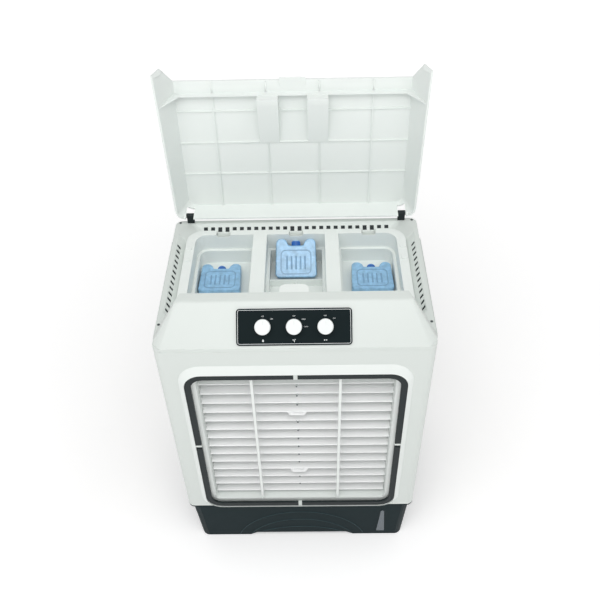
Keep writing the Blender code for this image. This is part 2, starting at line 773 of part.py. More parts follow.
def build_fan():
    seat = FRONT + BORDER_SINK + WALL + GAP
    shroud = box("fan_shroud", (-PLENUM_HALF, seat, PLENUM_LOW),
                 (PLENUM_HALF, SHROUD_Y + WALL, PLENUM_HIGH))
    hollow = box("plenum_hollow", (-PLENUM_HALF + PLENUM_WALL, seat - WALL, PLENUM_LOW + PLENUM_WALL),
                 (PLENUM_HALF - PLENUM_WALL, SHROUD_Y, PLENUM_HIGH - PLENUM_WALL))
    cut(shroud, hollow)
    collar = plate("fan_collar", [circle(0, FAN_Z, COLLAR_RADIUS + COLLAR_WALL, 32)], "Y",
                   SHROUD_Y + WALL / 2, SPIDER_BACK)
    fuse(shroud, collar)
    cut(shroud, plate("fan_mouth", [circle(0, FAN_Z, COLLAR_RADIUS, 32)], "Y", SHROUD_Y - WALL,
                      SPIDER_BACK + WALL))
    reach = COLLAR_RADIUS + COLLAR_WALL / 2
    wide = SPIDER_WIDE / 2
    fuse(shroud, box("spider_level", (-reach, SPIDER_FRONT, FAN_Z - wide),
                     (reach, SPIDER_BACK, FAN_Z + wide)))
    fuse(shroud, box("spider_upright", (-wide, SPIDER_FRONT, FAN_Z - reach),
                     (wide, SPIDER_BACK, FAN_Z + reach)))
    fuse(shroud, rod("spider_hub", MOTOR_RADIUS, fan_point(SPIDER_FRONT), fan_point(SPIDER_BACK), 24))
    cut(shroud, rod("spider_bore", SHAFT_RADIUS + RUN_GAP, fan_point(SPIDER_FRONT - WALL),
                    fan_point(SPIDER_BACK + WALL), 12))
    paint(shroud, GREY_WHITE)

    motor = rod("fan_motor", MOTOR_RADIUS, fan_point(SPIDER_BACK + GAP),
                fan_point(SPIDER_BACK + GAP + MOTOR_LONG), 24)
    paint(motor, STEEL)

    rotor = rod("fan_rotor", HUB_RADIUS, fan_point(FRONT + FAN_FRONT),
                fan_point(FRONT + FAN_FRONT + FAN_DEEP), 20)
    middle = FRONT + FAN_FRONT + FAN_DEEP / 2
    for i in range(FAN_BLADES):
        turn = 2 * math.pi * i / FAN_BLADES
        fuse(rotor, fan_blade(f"fan_blade_{i + 1}", turn, middle))
    fuse(rotor, rod("fan_shaft", SHAFT_RADIUS, fan_point(middle), fan_point(SPIDER_BACK), 12))
    pivot(rotor, fan_point(middle))
    paint(rotor, GREY_WHITE)


def fan_blade(name, turn, middle):
    """A twisted blade: steep and narrow at the hub, flat and wide at the tip."""
    rings = []
    for share in (0.0, 0.5, 1.0):
        radius = (HUB_RADIUS - WALL) * (1 - share) + (FAN_RADIUS - WALL) * share
        pitch = math.radians(ROOT_PITCH + (TIP_PITCH - ROOT_PITCH) * share)
        chord = ROOT_CHORD + (TIP_CHORD - ROOT_CHORD) * share
        out = Vector((math.cos(turn), 0, math.sin(turn)))
        around = Vector((-math.sin(turn), 0, math.cos(turn)))
        along = math.cos(pitch) * around + math.sin(pitch) * Vector((0, 1, 0))
        across = math.cos(pitch) * Vector((0, 1, 0)) - math.sin(pitch) * around
        centre = Vector(fan_point(middle)) + radius * out
        rings.append([centre + a * along * chord / 2 + b * across * WALL / 4
                      for a, b in ((-1, -1), (1, -1), (1, 1), (-1, 1))])
    return loft(name, rings)


def build_pads():
    panel_high = CABINET_TOP - PANEL_TOP_GAP
    for side, axis, sign, half in (("left", "X", -1, PANEL_HALF), ("right", "X", 1, PANEL_HALF),
                                   ("rear", "Y", 1, REAR_PANEL_HALF)):
        face = HALF if axis == "X" else BACK
        near, far = sign * (face + GAP), sign * (face + PANEL_PROUD)
        inner = half - PANEL_FRAME
        room = panel_high - PANEL_LOW - 2 * PANEL_FRAME
        pitch = (room + PANEL_FRAME / 2) / PANEL_SLATS
        outlines = [rounded(-half, half, PANEL_LOW, panel_high, PANEL_FRAME / 2)]
        for k in range(PANEL_SLATS):
            low = PANEL_LOW + PANEL_FRAME + pitch * k
            outlines.append([(-inner, low), (inner, low), (inner, low + pitch - SLAT_TALL / 2),
                             (-inner, low + pitch - SLAT_TALL / 2)])
        panel = plate(f"pad_panel_{side}", outlines, axis, min(near, far), max(near, far))
        pad_face = sign * face
        pad_back = sign * (face - PAD_THICK)
        pad_half = half - PANEL_FRAME / 2 - WALL / 2
        low_corner = {"X": (min(pad_face, pad_back), -pad_half, PAD_LOW),
                      "Y": (-pad_half, min(pad_face, pad_back), PAD_LOW)}[axis]
        high_corner = {"X": (max(pad_face, pad_back), pad_half, PAD_TOP),
                       "Y": (pad_half, max(pad_face, pad_back), PAD_TOP)}[axis]
        pad = box(f"cooling_pad_{side}", low_corner, high_corner)
        paint(panel, WHITE)
        paint(pad, PAD_BROWN)


HOSE_Y = BACK - PAD_THICK - HOSE_RADIUS - HOSE_CLEAR
PUMP_Y = HOSE_Y + HOSE_RADIUS - PUMP_SIZE / 2


def trough_outline(shrink):
    """A U in plan round the left, rear and right pads."""
    side = HALF - WALL - RUN_GAP - shrink
    back = BACK - WALL - RUN_GAP - shrink
    inner = HALF - WALL - RUN_GAP - TROUGH_WIDE + shrink
    inner_back = BACK - WALL - RUN_GAP - TROUGH_WIDE + shrink
    front = TROUGH_FRONT + shrink
    corner = CORNER - WALL
    return [(side, front), (side, back - corner), (side - corner, back), (-side + corner, back),
            (-side, back - corner), (-side, front), (-inner, front), (-inner, inner_back),
            (inner, inner_back), (inner, front)]


def build_water_path():
    trough = plate("water_distributor", [trough_outline(0)], "Z", TROUGH_LOW, TROUGH_LOW + TROUGH_TALL)
    spigot_half = HOSE_RADIUS + TROUGH_WALL
    trough_in = BACK - WALL - RUN_GAP - TROUGH_WIDE
    spigot = box("trough_spigot", (HOSE_X - spigot_half, HOSE_Y - spigot_half, TROUGH_LOW),
                 (HOSE_X + spigot_half, trough_in + TROUGH_WALL / 2, TROUGH_LOW + TROUGH_TALL / 4))
    channel = plate("trough_channel", [trough_outline(TROUGH_WALL)], "Z", TROUGH_LOW + TROUGH_WALL,
                    TROUGH_LOW + TROUGH_TALL * 2)
    fuse(trough, spigot)
    cut(trough, channel)
    paint(trough, GREY_WHITE)
    floor = TANK_FLOOR + GAP
    pump = box("water_pump", (HOSE_X - PUMP_SIZE / 2, PUMP_Y - PUMP_SIZE / 2, floor),
               (HOSE_X + PUMP_SIZE / 2, PUMP_Y + PUMP_SIZE / 2, floor + PUMP_TALL))
    bevel = pump.modifiers.new("round", "BEVEL")
    bevel.width = WALL
    bevel.segments = 2
    paint(pump, BLACK)
    hose = rod("riser_hose", HOSE_RADIUS, (HOSE_X, HOSE_Y, floor + PUMP_TALL + GAP),
               (HOSE_X, HOSE_Y, TROUGH_LOW - GAP), 12)
    paint(hose, GREY_WHITE)


WELL_FRONT = FRONT + CONSOLE_DEEP + RIM_FLAT / 4
WELL_FLOOR = SHOULDER - WELL_DEEP


def well_outline(inset, front_inset=0.0):
    """The rim's opening, drawn in towards the tray on three sides."""
    side = HALF - RIM_FLAT - inset
    return rounded(-side, side, WELL_FRONT + front_inset, BACK - RIM_FLAT - inset, CORNER / 2, WELL_CORNER)


def build_deck():
    edge = rounded(-HALF, HALF, FRONT, BACK, CORNER)
    deck = plate("top_deck", [edge], "Z", SHOULDER - DECK_TALL, SHOULDER)
    wall = loft("well_wall", [at_height(well_outline(-WALL, -WALL / 4), SHOULDER - DECK_TALL / 2),
                              at_height(well_outline(WELL_SLOPE - WALL, -WALL / 4), WELL_FLOOR - WALL)])
    fuse(deck, wall)
    well = loft("well", [at_height(well_outline(-WELL_SLOPE / WELL_DEEP * WALL), SHOULDER + WALL),
                         at_height(well_outline(WELL_SLOPE), WELL_FLOOR)])
    mouth = plate("tray_mouth", [well_outline(WELL_SLOPE + LEDGE, LEDGE / 2)], "Z", WELL_FLOOR - WALL * 3,
                  SHOULDER)
    slot_low = SHOULDER - SLOT_FOOT
    slot_high = SHOULDER - SLOT_HEAD
    side = HALF - RIM_FLAT
    rear = BACK - RIM_FLAT
    half = SLOT_WIDE / 2
    slots = []
    for i in range(REAR_SLOTS):
        x = SLOT_PITCH * (i - (REAR_SLOTS - 1) / 2)
        slots.append(((x - half, rear - WELL_SLOPE, slot_low), (x + half, rear + WALL * 3, slot_high)))
    for i in range(SIDE_SLOTS):
        y = BACK - SIDE_SLOT_REAR - SIDE_SLOT_PITCH * i
        for sign in (-1, 1):
            ends = sorted((sign * (side - WELL_SLOPE), sign * (side + WALL * 2)))
            slots.append(((ends[0], y - half, slot_low), (ends[1], y + half, slot_high)))
    cut(deck, well, mouth, boxes("well_slots", slots))
    paint(deck, WHITE)


def console_ring(z, front, side_front, hip, rear, half, rear_half, chamfer):
    """Eight points round the console at one height, given as depths behind the front plane."""
    right = [(half - chamfer, front), (half, side_front), (half, hip), (rear_half, rear)]
    left = [(-x, y) for x, y in reversed(right)]
    return [(x, FRONT + y, SHOULDER + z) for x, y in right + left]


SLOPE_ANGLE = math.radians(CONSOLE_SLOPE)
SLOPE_TURN = Matrix.Rotation(SLOPE_ANGLE, 4, "X")
PANEL_PLACE = Vector((0, FRONT + PANEL_UP * math.cos(SLOPE_ANGLE),
                      SHOULDER + GAP + PANEL_UP * math.sin(SLOPE_ANGLE)))
SLOPE = Matrix.Translation(PANEL_PLACE) @ SLOPE_TURN @ Matrix.Translation((0, 0, GAP * 2))


def on_slope(obj):
    """Lay a piece that was made flat on the sloping front of the console."""
    obj.data.transform(SLOPE)
    return obj


def build_console():
    console = loft("control_console", [
        console_ring(GAP, 0, CORNER, HIP_START, CONSOLE_DEEP, HALF, CONSOLE_REAR_HALF, CORNER),
        console_ring(CREASE, CREASE, CREASE + WALL, CREASE_HIP, CONSOLE_DEEP, CREASE_HALF, CREASE_REAR_HALF,
                     CORNER / 2),
        console_ring(CONSOLE_TALL, CREASE + WALL * 2, CREASE + WALL * 3, CREASE_HIP + WALL, CONSOLE_DEEP,
                     CREASE_HALF - WALL, CREASE_REAR_HALF - WALL / 2, CORNER / 2)])
    t = CONSOLE_WALL
    lean = t * 1.5
    hollow = loft("console_hollow", [
        console_ring(-t, 0, CORNER, HIP_START, CONSOLE_DEEP - t, HALF - t, CONSOLE_REAR_HALF - lean, CORNER),
        console_ring(CREASE - t, CREASE + t / 2, CREASE + t, CREASE_HIP, CONSOLE_DEEP - t,
                     CREASE_HALF - lean, CREASE_REAR_HALF - lean, CORNER / 2)])
    hole = on_slope(box("console_hole", (-PANEL_WIDE / 2 + WALL * 3, -PANEL_LONG / 2 + WALL * 3, -WALL * 5),
                        (PANEL_WIDE / 2 - WALL * 3, PANEL_LONG / 2 - WALL * 3, WALL * 5)))
    cut(console, hollow, hole)
    paint(console, WHITE)

    panel_edge = rounded(-PANEL_WIDE / 2, PANEL_WIDE / 2, -PANEL_LONG / 2, PANEL_LONG / 2, WALL * 2)
    panel = plate("control_panel", [panel_edge], "Z", 0, PANEL_THICK)
    knob_places = [KNOB_PITCH * (i - 1) for i in range(3)]
    cut(panel, rods("knob_holes", KNOB_SHAFT + GAP,
                    [((x, 0, -WALL), (x, 0, WALL * 2)) for x in knob_places], 12))
    on_slope(bake(panel))
    paint(panel, BLACK)
    block = box("switch_block", (-KNOB_PITCH - KNOB_RADIUS, -KNOB_RADIUS, -SWITCH_DEEP),
                (KNOB_PITCH + KNOB_RADIUS, KNOB_RADIUS, -GAP))
    paint(on_slope(block), BLACK)
    for x, use in zip(knob_places, ("pump", "fan", "swing")):
        base = PANEL_THICK + RUN_GAP
        top = PANEL_THICK + KNOB_TALL
        knob = turned(f"knob_{use}", [(0, top), (KNOB_FACE, top), (KNOB_EDGE, top - WALL / 2),
                                      (KNOB_RADIUS, base), (KNOB_SHAFT, base), (KNOB_SHAFT, 0), (0, 0)], 20)
        pointer = box(f"knob_pointer_{use}", (-WALL / 2, -POINTER_HALF, top - WALL),
                      (WALL / 2, POINTER_HALF, top + WALL / 2))
        fuse(knob, pointer)
        bake(knob)
        knob.matrix_world = SLOPE @ Matrix.Translation((x, 0, 0))
        paint(knob, WHITE)


TRAY_LOW = WELL_FLOOR + GAP
POCKETS = ((-SIDE_POCKET_OUT, -SIDE_POCKET_IN), (-CENTRE_POCKET, CENTRE_POCKET),
           (SIDE_POCKET_IN, SIDE_POCKET_OUT))


def pocket_outline(x0, x1, grow, front_grow):
    """A pocket in plan. The outer rear corner of a side pocket is rounded, as the tray's is."""
    low, high = x0 - grow, x1 + grow
    front = FRONT + POCKET_FRONT - front_grow
    rear = FRONT + POCKET_REAR + grow
    radius = POCKET_CORNER + grow
    right = arc(high - radius, rear - radius, radius, 0) if x0 > 0 else [(high, rear)]
    left = arc(low + radius, rear - radius, radius, 90) if x1 < 0 else [(low, rear)]
    return [(low, front), (high, front)] + right + left


def pocket_plates(name, grow, front_grow, low, high):
    return [plate(f"{name}_{k + 1}", [pocket_outline(*pocket, grow, front_grow)], "Z", low, high)
            for k, pocket in enumerate(POCKETS)]


def build_tray():
    floor = SHOULDER - TRAY_FLOOR
    step = SHOULDER - TRAY_STEP
    top = TRAY_LOW + TRAY_FLANGE + TRAY_RIM
    side = HALF - RIM_FLAT - WELL_SLOPE - TRAY_WALL
    front = WELL_FRONT + TRAY_WALL
    rear = BACK - RIM_FLAT - WELL_SLOPE - TRAY_WALL
    edge = rounded(-side, side, front, rear, CORNER / 3, TRAY_CORNER)
    t = TRAY_WALL
    inner_edge = rounded(-side + t, side - t, front + t, rear - t, CORNER / 3 - t, TRAY_CORNER - t)
    tray = plate("ice_tray", [edge], "Z", top - TRAY_FLANGE, top)
    skirt = plate("tray_skirt", [edge, inner_edge], "Z", TRAY_LOW, top - TRAY_FLANGE / 2)
    fuse(tray, skirt)
    fuse(tray, *pocket_plates("tray_tub", t, t, step - t, top - TRAY_FLANGE / 2))
    fuse(tray, *pocket_plates("tray_well", t - TRAY_LEDGE, t, floor - t, step))
    cut(tray, *pocket_plates("tray_pocket", 0, 0, step, top + WALL))
    cut(tray, *pocket_plates("tray_pit", -TRAY_LEDGE, 0, floor, step + WALL))
    cross = box("tray_cross_wall", (-CENTRE_POCKET, FRONT + CROSS_WALL, floor - t / 2),
                (CENTRE_POCKET, FRONT + CROSS_WALL + t, floor + CROSS_WALL_TALL))
    fuse(tray, cross)
    paint(tray, WHITE)


def pack_mesh():
    """An ice pack on its back at its own origin: its foot edge on y = 0, its cap between two ears at +Y."""
    foot = PACK_FOOT / 2
    head = PACK_WIDE / 2
    body = PACK_LONG - PACK_EAR
    cap = CAP_WIDE / 2
    r = PACK_ROUND
    right = [(foot - r, 0), (foot, r), (head, PACK_LONG - r), (head - r, PACK_LONG),
             (EAR_INNER + r, PACK_LONG), (EAR_INNER, PACK_LONG - r), (EAR_INNER - EAR_FLARE, body)]
    outline = right + [(-x, y) for x, y in reversed(right)]
    pack = plate("pack", [outline], "Z", 0, PACK_THICK)
    bevel = pack.modifiers.new("round", "BEVEL")
    bevel.width = PACK_BEVEL
    bevel.segments = 2
    bevel.limit_method = "ANGLE"
    middle = PACK_THICK / 2
    fuse(pack, rod("pack_cap", cap, (0, body - WALL, middle), (0, PACK_LONG - PACK_BEVEL, middle), 12))
    bake(pack)
    mesh = pack.data
    bpy.data.objects.remove(pack, do_unlink=True)
    return mesh


def build_packs():
    mesh = pack_mesh()
    floor = SHOULDER - TRAY_FLOOR + GAP
    lean = math.radians(LEAN)
    rear_foot = FRONT + POCKET_REAR - PACK_LONG * math.cos(lean)
    for name, x, y, turn in (("left", -PACK_X, FRONT + PACK_REAR - PACK_LONG, 0),
                             ("centre", 0, rear_foot, lean),
                             ("right", PACK_X, FRONT + PACK_REAR - PACK_LONG, 0)):
        pack = place(f"ice_pack_{name}", mesh.copy())
        pack.location = (x, y, floor)
        pack.rotation_euler = (turn, 0, 0)
        settle(pack, floor, FRONT + POCKET_REAR - GAP if turn else None)
        paint(pack, ICE_BLUE)


def settle(pack, floor, wall):
    """Lower a pack onto the tray's floor and, if it leans, slide it back to the tray's rear wall."""
    bpy.context.view_layer.update()
    corners = [pack.matrix_world @ vertex.co for vertex in pack.data.vertices]
    pack.location.z += floor - min(corner.z for corner in corners)
    if wall is not None:
        pack.location.y += wall - max(corner.y for corner in corners)


HINGE_Y = FRONT + HINGE_REAR
HINGE_Z = SHOULDER + HINGE_RISE


def lid_ring(z, front, front_half, tip, tip_wall, side, rear_side, rear, corner, fall=0.0):
    """Points round the closed lid, with an ear at each front corner and round rear corners."""
    right = [(front_half, front), (side - tip_wall, tip), (side, tip)]
    right += arc(rear_side - corner, rear - corner, corner, 0, 3)
    left = [(-x, y) for x, y in reversed(right)]
    return [(x, FRONT + y, SHOULDER + z - fall * (y - LID_FRONT)) for x, y in right + left]


def lid_side(z, base, tall):
    """The lid's half-width at a height: its sides lean in towards the top panel."""
    return base + (LID_TOP_HALF - base) * z / tall


def lid_height(y):
    """The height of the lid's top panel, which falls towards the rear."""
    return SHOULDER + LID_TALL - LID_FALL * (y - FRONT - LID_FRONT)


def build_lid():
    t = LID_WALL
    base_half = CONSOLE_REAR_HALF + t * 2
    mid_half = (base_half + LID_TOP_HALF) / 2 - t
    top_rear = LID_REAR - LID_REAR_LEAN
    middle_rear = LID_REAR - LID_REAR_LEAN / 2
    middle = lid_side(EAR_RISE, LID_HALF, LID_TALL)
    middle_back = lid_side(EAR_RISE, LID_REAR_HALF, LID_TALL - LID_DROP)
    lid = loft("lid", [
        lid_ring(LID_LIFT, LID_FRONT, base_half, EAR_TIP, t, LID_HALF, LID_REAR_HALF, LID_REAR, LID_CORNER),
        lid_ring(EAR_RISE, LID_FRONT, mid_half, EAR_TIP, t, middle, middle_back, middle_rear, LID_CORNER),
        lid_ring(LID_TALL, LID_FRONT, LID_TOP_HALF - t, LID_FRONT - t / 4, t / 2, LID_TOP_HALF, LID_TOP_HALF,
                 top_rear, LID_CORNER, LID_FALL)])
    through = LID_FRONT - t * 4
    corner = LID_CORNER - t
    hollow = loft("lid_hollow", [
        lid_ring(-t, through, base_half - t / 2, EAR_TIP + t * 2, t / 3, LID_HALF - t, LID_REAR_HALF - t,
                 LID_REAR - t, corner),
        lid_ring(EAR_RISE, through, mid_half - t / 2, EAR_TIP + t * 2, t / 3, middle - t, middle_back - t,
                 middle_rear - t, corner),
        lid_ring(LID_TALL - t, through, LID_TOP_HALF - t * 2, through + t / 4, t / 3, LID_TOP_HALF - t,
                 LID_TOP_HALF - t, top_rear - t, corner, LID_FALL)])
    cut(lid, hollow)

    front = FRONT + LID_FRONT + t
    rear = FRONT + top_rear - t / 2
    side = LID_TOP_HALF - t / 2
    half = RIB_THICK / 2
    for k, place_y in enumerate(CROSS_RIBS):
        y = FRONT + place_y
        ceiling = lid_height(y) - t / 2
        fuse(lid, box(f"lid_cross_rib_{k}", (-side, y - half, ceiling - RIB_TALL),
                      (side, y + half, ceiling)))
    shelf = FRONT + SHELF_PLACE
    ceiling = lid_height(shelf) - t / 2
    fuse(lid, box("lid_shelf", (-side, shelf - half, ceiling - SHELF_TALL),
                  (side, shelf + half, ceiling)))
    for k, x in enumerate(LONG_RIBS):
        front_top, rear_top = lid_height(front) - t / 2, lid_height(rear) - t / 2
        deep = RIB_TALL + half
        profile = [(front, front_top - deep), (rear, rear_top - deep), (rear, rear_top), (front, front_top)]
        fuse(lid, plate(f"lid_long_rib_{k}", [profile], "X", x - half, x + half))
    for sign in (-1, 1):
        x = sign * PILLAR_X
        tall = ceiling - PILLAR_TALL
        foot = FRONT + CROSS_RIBS[1]
        foot_top = lid_height(foot) - t / 2
        profile = [(shelf, ceiling), (shelf, tall), (shelf + PILLAR_TALL / 2, tall),
                   (foot, foot_top - RIB_TALL), (foot, foot_top)]
        fuse(lid, plate(f"lid_pillar_{sign}", [profile], "X", x - PILLAR_HALF, x + PILLAR_HALF))

    reach = HINGE_WIDE / 2 + RUN_GAP * 2
    for sign in (-1, 1):
        x = sign * HINGE_X
        lug = rod(f"lid_lug_{sign}", LUG, (x - reach - LUG, HINGE_Y, HINGE_Z),
                  (x + reach + LUG, HINGE_Y, HINGE_Z), 16)
        fuse(lid, lug)
        slot = box(f"lid_slot_{sign}", (x - reach, HINGE_Y - LUG * 2, SHOULDER - LUG),
                   (x + reach, HINGE_Y + LUG * 2, SHOULDER + HINGE_SLOT_TALL))
        bore = rod(f"lid_bore_{sign}", HINGE_PIN + GAP, (x - reach - LUG * 2, HINGE_Y, HINGE_Z),
                   (x + reach + LUG * 2, HINGE_Y, HINGE_Z), 12)
        cut(lid, slot, bore)
    pivot(lid, (0, HINGE_Y, HINGE_Z))
    lid.rotation_euler = (math.radians(-LID_OPEN), 0, 0)
    paint(lid, WHITE)

    for name, sign in (("left", -1), ("right", 1)):
        x = sign * HINGE_X
        half = HINGE_WIDE / 2
        block = box(f"lid_hinge_{name}", (x - half, HINGE_Y - LUG, SHOULDER + GAP),
                    (x + half, HINGE_Y + LUG / 2, HINGE_Z))
        eye = rod(f"hinge_eye_{name}", EYE_RADIUS, (x - half, HINGE_Y, HINGE_Z),
                  (x + half, HINGE_Y, HINGE_Z), 16)
        pin = rod(f"hinge_pin_{name}", HINGE_PIN, (x - reach - LUG, HINGE_Y, HINGE_Z),
                  (x + reach + LUG, HINGE_Y, HINGE_Z), 12)
        fuse(block, eye, pin)
        paint(block, BLACK)


def main():
    build_tank()
    build_tank_fittings()
    build_cabinet()
    build_grille()
    build_louvres()
    build_vanes()
    build_swing_drive()
    build_fan()
    build_pads()
    build_water_path()
    build_deck()
    build_console()
    build_tray()
    build_packs()
    build_lid()


main()
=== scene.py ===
"""Looks of a room evaporative cooler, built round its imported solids: every solid gets rounded
edges and a moulded finish, and the fine detail is modelled on top of it."""

import json
import math

import bmesh
import bpy
from bpy.props import FloatProperty, FloatVectorProperty, PointerProperty
from mathutils import Matrix, Vector


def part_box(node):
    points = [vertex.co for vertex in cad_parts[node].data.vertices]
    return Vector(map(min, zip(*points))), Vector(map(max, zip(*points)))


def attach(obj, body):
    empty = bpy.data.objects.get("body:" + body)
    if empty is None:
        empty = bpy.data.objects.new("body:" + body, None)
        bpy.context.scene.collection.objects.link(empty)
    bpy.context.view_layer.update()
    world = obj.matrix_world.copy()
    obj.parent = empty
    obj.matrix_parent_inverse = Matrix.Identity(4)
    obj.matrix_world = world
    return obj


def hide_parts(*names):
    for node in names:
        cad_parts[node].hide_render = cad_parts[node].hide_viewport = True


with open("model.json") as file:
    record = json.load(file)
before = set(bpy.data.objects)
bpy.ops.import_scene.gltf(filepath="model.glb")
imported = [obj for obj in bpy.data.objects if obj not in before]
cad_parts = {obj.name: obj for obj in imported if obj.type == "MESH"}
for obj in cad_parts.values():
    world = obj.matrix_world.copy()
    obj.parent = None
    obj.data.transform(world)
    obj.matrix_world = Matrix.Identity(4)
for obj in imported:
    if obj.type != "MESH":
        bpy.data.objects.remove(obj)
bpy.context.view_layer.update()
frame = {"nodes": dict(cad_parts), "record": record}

bl_info = {
    "name": "Evaporative cooler",
    "version": (1, 0, 0),
    "blender": (4, 5, 0),
    "location": "View3D > Sidebar > Cooler",
    "description": "Builds the looks of a room evaporative cooler round its solids",
    "category": "Object",
}

NODES = frame["nodes"]
BODY_OF = {node: body for body, members in frame["record"]["behaviour"]["bodies"].items() for node in members}
SLOT_OF = {row["node"]: row["material_slot"] for row in frame["record"]["subparts"]}

# Main planes of the cooler, read from its solids.
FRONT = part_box("cabinet")[0].y
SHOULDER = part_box("top_deck")[1].z

# Smallest distance between two separate points in metres. Faces that meet under the first angle count as one
# plane. An edge above the second is shaded sharp, and one above the third is rounded.
MERGE = 0.000005
FLAT = math.radians(1.0)
SHARP = math.radians(32.0)
CREASE = math.radians(30.0)

# Rounding of fine moulded edges, of thin blades, and of heavier mouldings.
FINE = 0.0008
THIN = 0.0005
HEAVY = 0.0016


def linear(hex_colour):
    """An sRGB hex value as linear red, green, blue and alpha."""
    values = [int(hex_colour[i:i + 2], 16) / 255 for i in (1, 3, 5)]
    return [v / 12.92 if v <= 0.04045 else ((v + 0.055) / 1.055) ** 2.4 for v in values] + [1.0]


def colour(label, text, hex_colour):
    return FloatVectorProperty(name=label, description=text, subtype="COLOR", size=4, min=0.0, max=1.0,
                               default=linear(hex_colour))


def length(label, text, metres):
    return FloatProperty(name=label, description=text, default=metres, min=0.0, subtype="DISTANCE",
                         unit="LENGTH")


def strength(label, text, value):
    return FloatProperty(name=label, description=text, default=value, min=0.0)


def power(label, text, watts):
    return FloatProperty(name=label, description=text, default=watts, min=0.0, subtype="POWER", unit="POWER")


class CoolerSizes(bpy.types.PropertyGroup):
    edge: length("Edge", "Rounding of a moulded edge", 0.0010)
    console_edge: length("Console edge", "Rounding of the console's creases", 0.0065)
    shell_edge: length("Shell edge", "Rounding of the cabinet's and deck's rims", 0.0018)
    border_gap: length("Border gap", "White gap between two black strokes of the border", 0.010)
    surround_side: length("Surround side", "Reach of the raised surround beside the border", 0.013)
    surround_top: length("Surround top", "Reach of the raised surround above the border", 0.026)
    panel_corner: length("Panel corner", "Corner radius of the control panel", 0.008)
    letter: length("Letter", "Height of the words on the control panel", 0.0038)
    flute: length("Flute", "Distance between two flutes of a cooling pad", 0.012)
    floor: length("Floor", "Side of the pale floor", 14.0)


class CoolerColours(bpy.types.PropertyGroup):
    white: colour("White", "Satin white ABS of the shell", "#D6DCD8")
    # A lighter copy of the shell's white: painted light on the lid, the tray, the frame, the vanes and the
    # tongue, and a painted highlight on the raised surround.
    bright: colour("Bright", "Whiter ABS of the lid, the tray and the frame", "#E7ECE9")
    knob: colour("Knob", "White ABS of the knobs", "#E6EAE9")
    # The louvres' near pure white is painted light on blades that lie in the frame's shade.
    blade: colour("Blade", "Pure white ABS of the louvres", "#F7F8F8")
    inner: colour("Inner", "Natural polypropylene inside", "#D6DDD9")
    charcoal: colour("Charcoal", "Dark polypropylene of the tank", "#1E2B2E")
    black: colour("Black", "Black ABS of the trim", "#172123")
    rubber: colour("Rubber", "Black rubber", "#151616")
    metal: colour("Metal", "Die-cast motor cases", "#A9AEB0")
    steel: colour("Steel", "Plated steel of the screws", "#6E7375")
    ice: colour("Ice", "Blue ice packs", "#8DB9DE")
    cap: colour("Cap", "Blue caps of the ice packs", "#2C66B4")
    pad: colour("Pad", "Wet cellulose of the cooling pads", "#9A7B4F")
    lens: colour("Lens", "Smoky level window", "#3C4A54")
    ink: colour("Ink", "Pale print on the control panel", "#E4E8E8")
    floor: colour("Floor", "Pale studio floor", "#FBFBFB")


class CoolerLights(bpy.types.PropertyGroup):
    sky: strength("Sky", "Strength of the even white surround", 0.47)
    floor: strength("Floor", "Strength of the light from under the floor", 0.27)
    floor_far: strength("Far floor", "Light that is added far out on the floor", 0.45)
    key: power("Key", "Power of the large light above the front left", 32.0)
    top: power("Top", "Power of the light over the tray and the lid", 7.0)
    fill: power("Fill", "Power of the light above the right", 17.0)


def sizes():
    return bpy.context.scene.cooler_sizes


def colours():
    return bpy.context.scene.cooler_colours


def joint_of(name):
    return next(row for row in frame["record"]["behaviour"]["joints"] if row["name"] == name)


def add_node(tree, kind, inputs=None, links=None, **settings):
    """Add a shader node, set its sockets and settings, and link other nodes' outputs to it."""
    node = tree.nodes.new(kind)
    for key, value in settings.items():
        setattr(node, key, value)
    for key, value in (inputs or {}).items():
        node.inputs[key].default_value = value
    for key, output in (links or {}).items():
        tree.links.new(output, node.inputs[key])
    return node


def shade(value, factor):
    return [min(1.0, channel * factor) for channel in value[:3]] + [1.0]


def moulded(name, base, roughness, ior=1.53, metallic=0.0, mottle=0.03, patch=0.05, grain=0.0016,
            depth=0.00003, coat=0.0, sheen=0.5):
    """A moulded surface: cloudy colour in patches of one size and a fine grain of another, in metres."""
    found = bpy.data.materials.get(name)
    if found:
        return found
    material = bpy.data.materials.new(name)
    material.use_nodes = True
    tree = material.node_tree
    shader = tree.nodes["Principled BSDF"]
    shader.inputs["Metallic"].default_value = metallic
    shader.inputs["IOR"].default_value = ior
    shader.inputs["Coat Weight"].default_value = coat
    shader.inputs["Specular IOR Level"].default_value = sheen
    place = add_node(tree, "ShaderNodeTexCoord").outputs["Object"]
    clouds = add_node(tree, "ShaderNodeTexNoise", {"Scale": 1 / patch, "Detail": 3.0, "Roughness": 0.6},
                      {"Vector": place})
    tint = add_node(tree, "ShaderNodeMix", {"A": shade(base, 1 - mottle), "B": shade(base, 1 + mottle)},
                    {"Factor": clouds.outputs["Fac"]}, data_type="RGBA")
    tree.links.new(tint.outputs["Result"], shader.inputs["Base Color"])
    fine = add_node(tree, "ShaderNodeTexNoise", {"Scale": 1 / grain, "Detail": 2.0}, {"Vector": place})
    gloss = add_node(tree, "ShaderNodeMapRange", {"To Min": roughness - 0.05, "To Max": roughness + 0.06},
                     {"Value": fine.outputs["Fac"]})
    tree.links.new(gloss.outputs["Result"], shader.inputs["Roughness"])
    bump = add_node(tree, "ShaderNodeBump", {"Strength": 0.5, "Distance": depth},
                    {"Height": fine.outputs["Fac"]})
    tree.links.new(bump.outputs["Normal"], shader.inputs["Normal"])
    return material


def white_abs():
    # Injection-moulded ABS with a satin spark finish: soft broad highlights, hardly any colour change.
    return moulded("white ABS, satin moulded", colours().white, 0.40, mottle=0.012, patch=0.09)


def lit_white_abs():
    # The same satin ABS painted a shade whiter, on the lid, the tray and the frame: painted light where these
    # sit in shade.
    return moulded("white ABS, satin bright", colours().bright, 0.42, mottle=0.012, patch=0.07)


def louvre_lit_abs():
    # The white ABS painted near pure white: painted light that keeps the thin blades pale although they lie
    # in the frame's shade.
    return moulded("white ABS, satin blades", colours().blade, 0.42, mottle=0.01, patch=0.07)


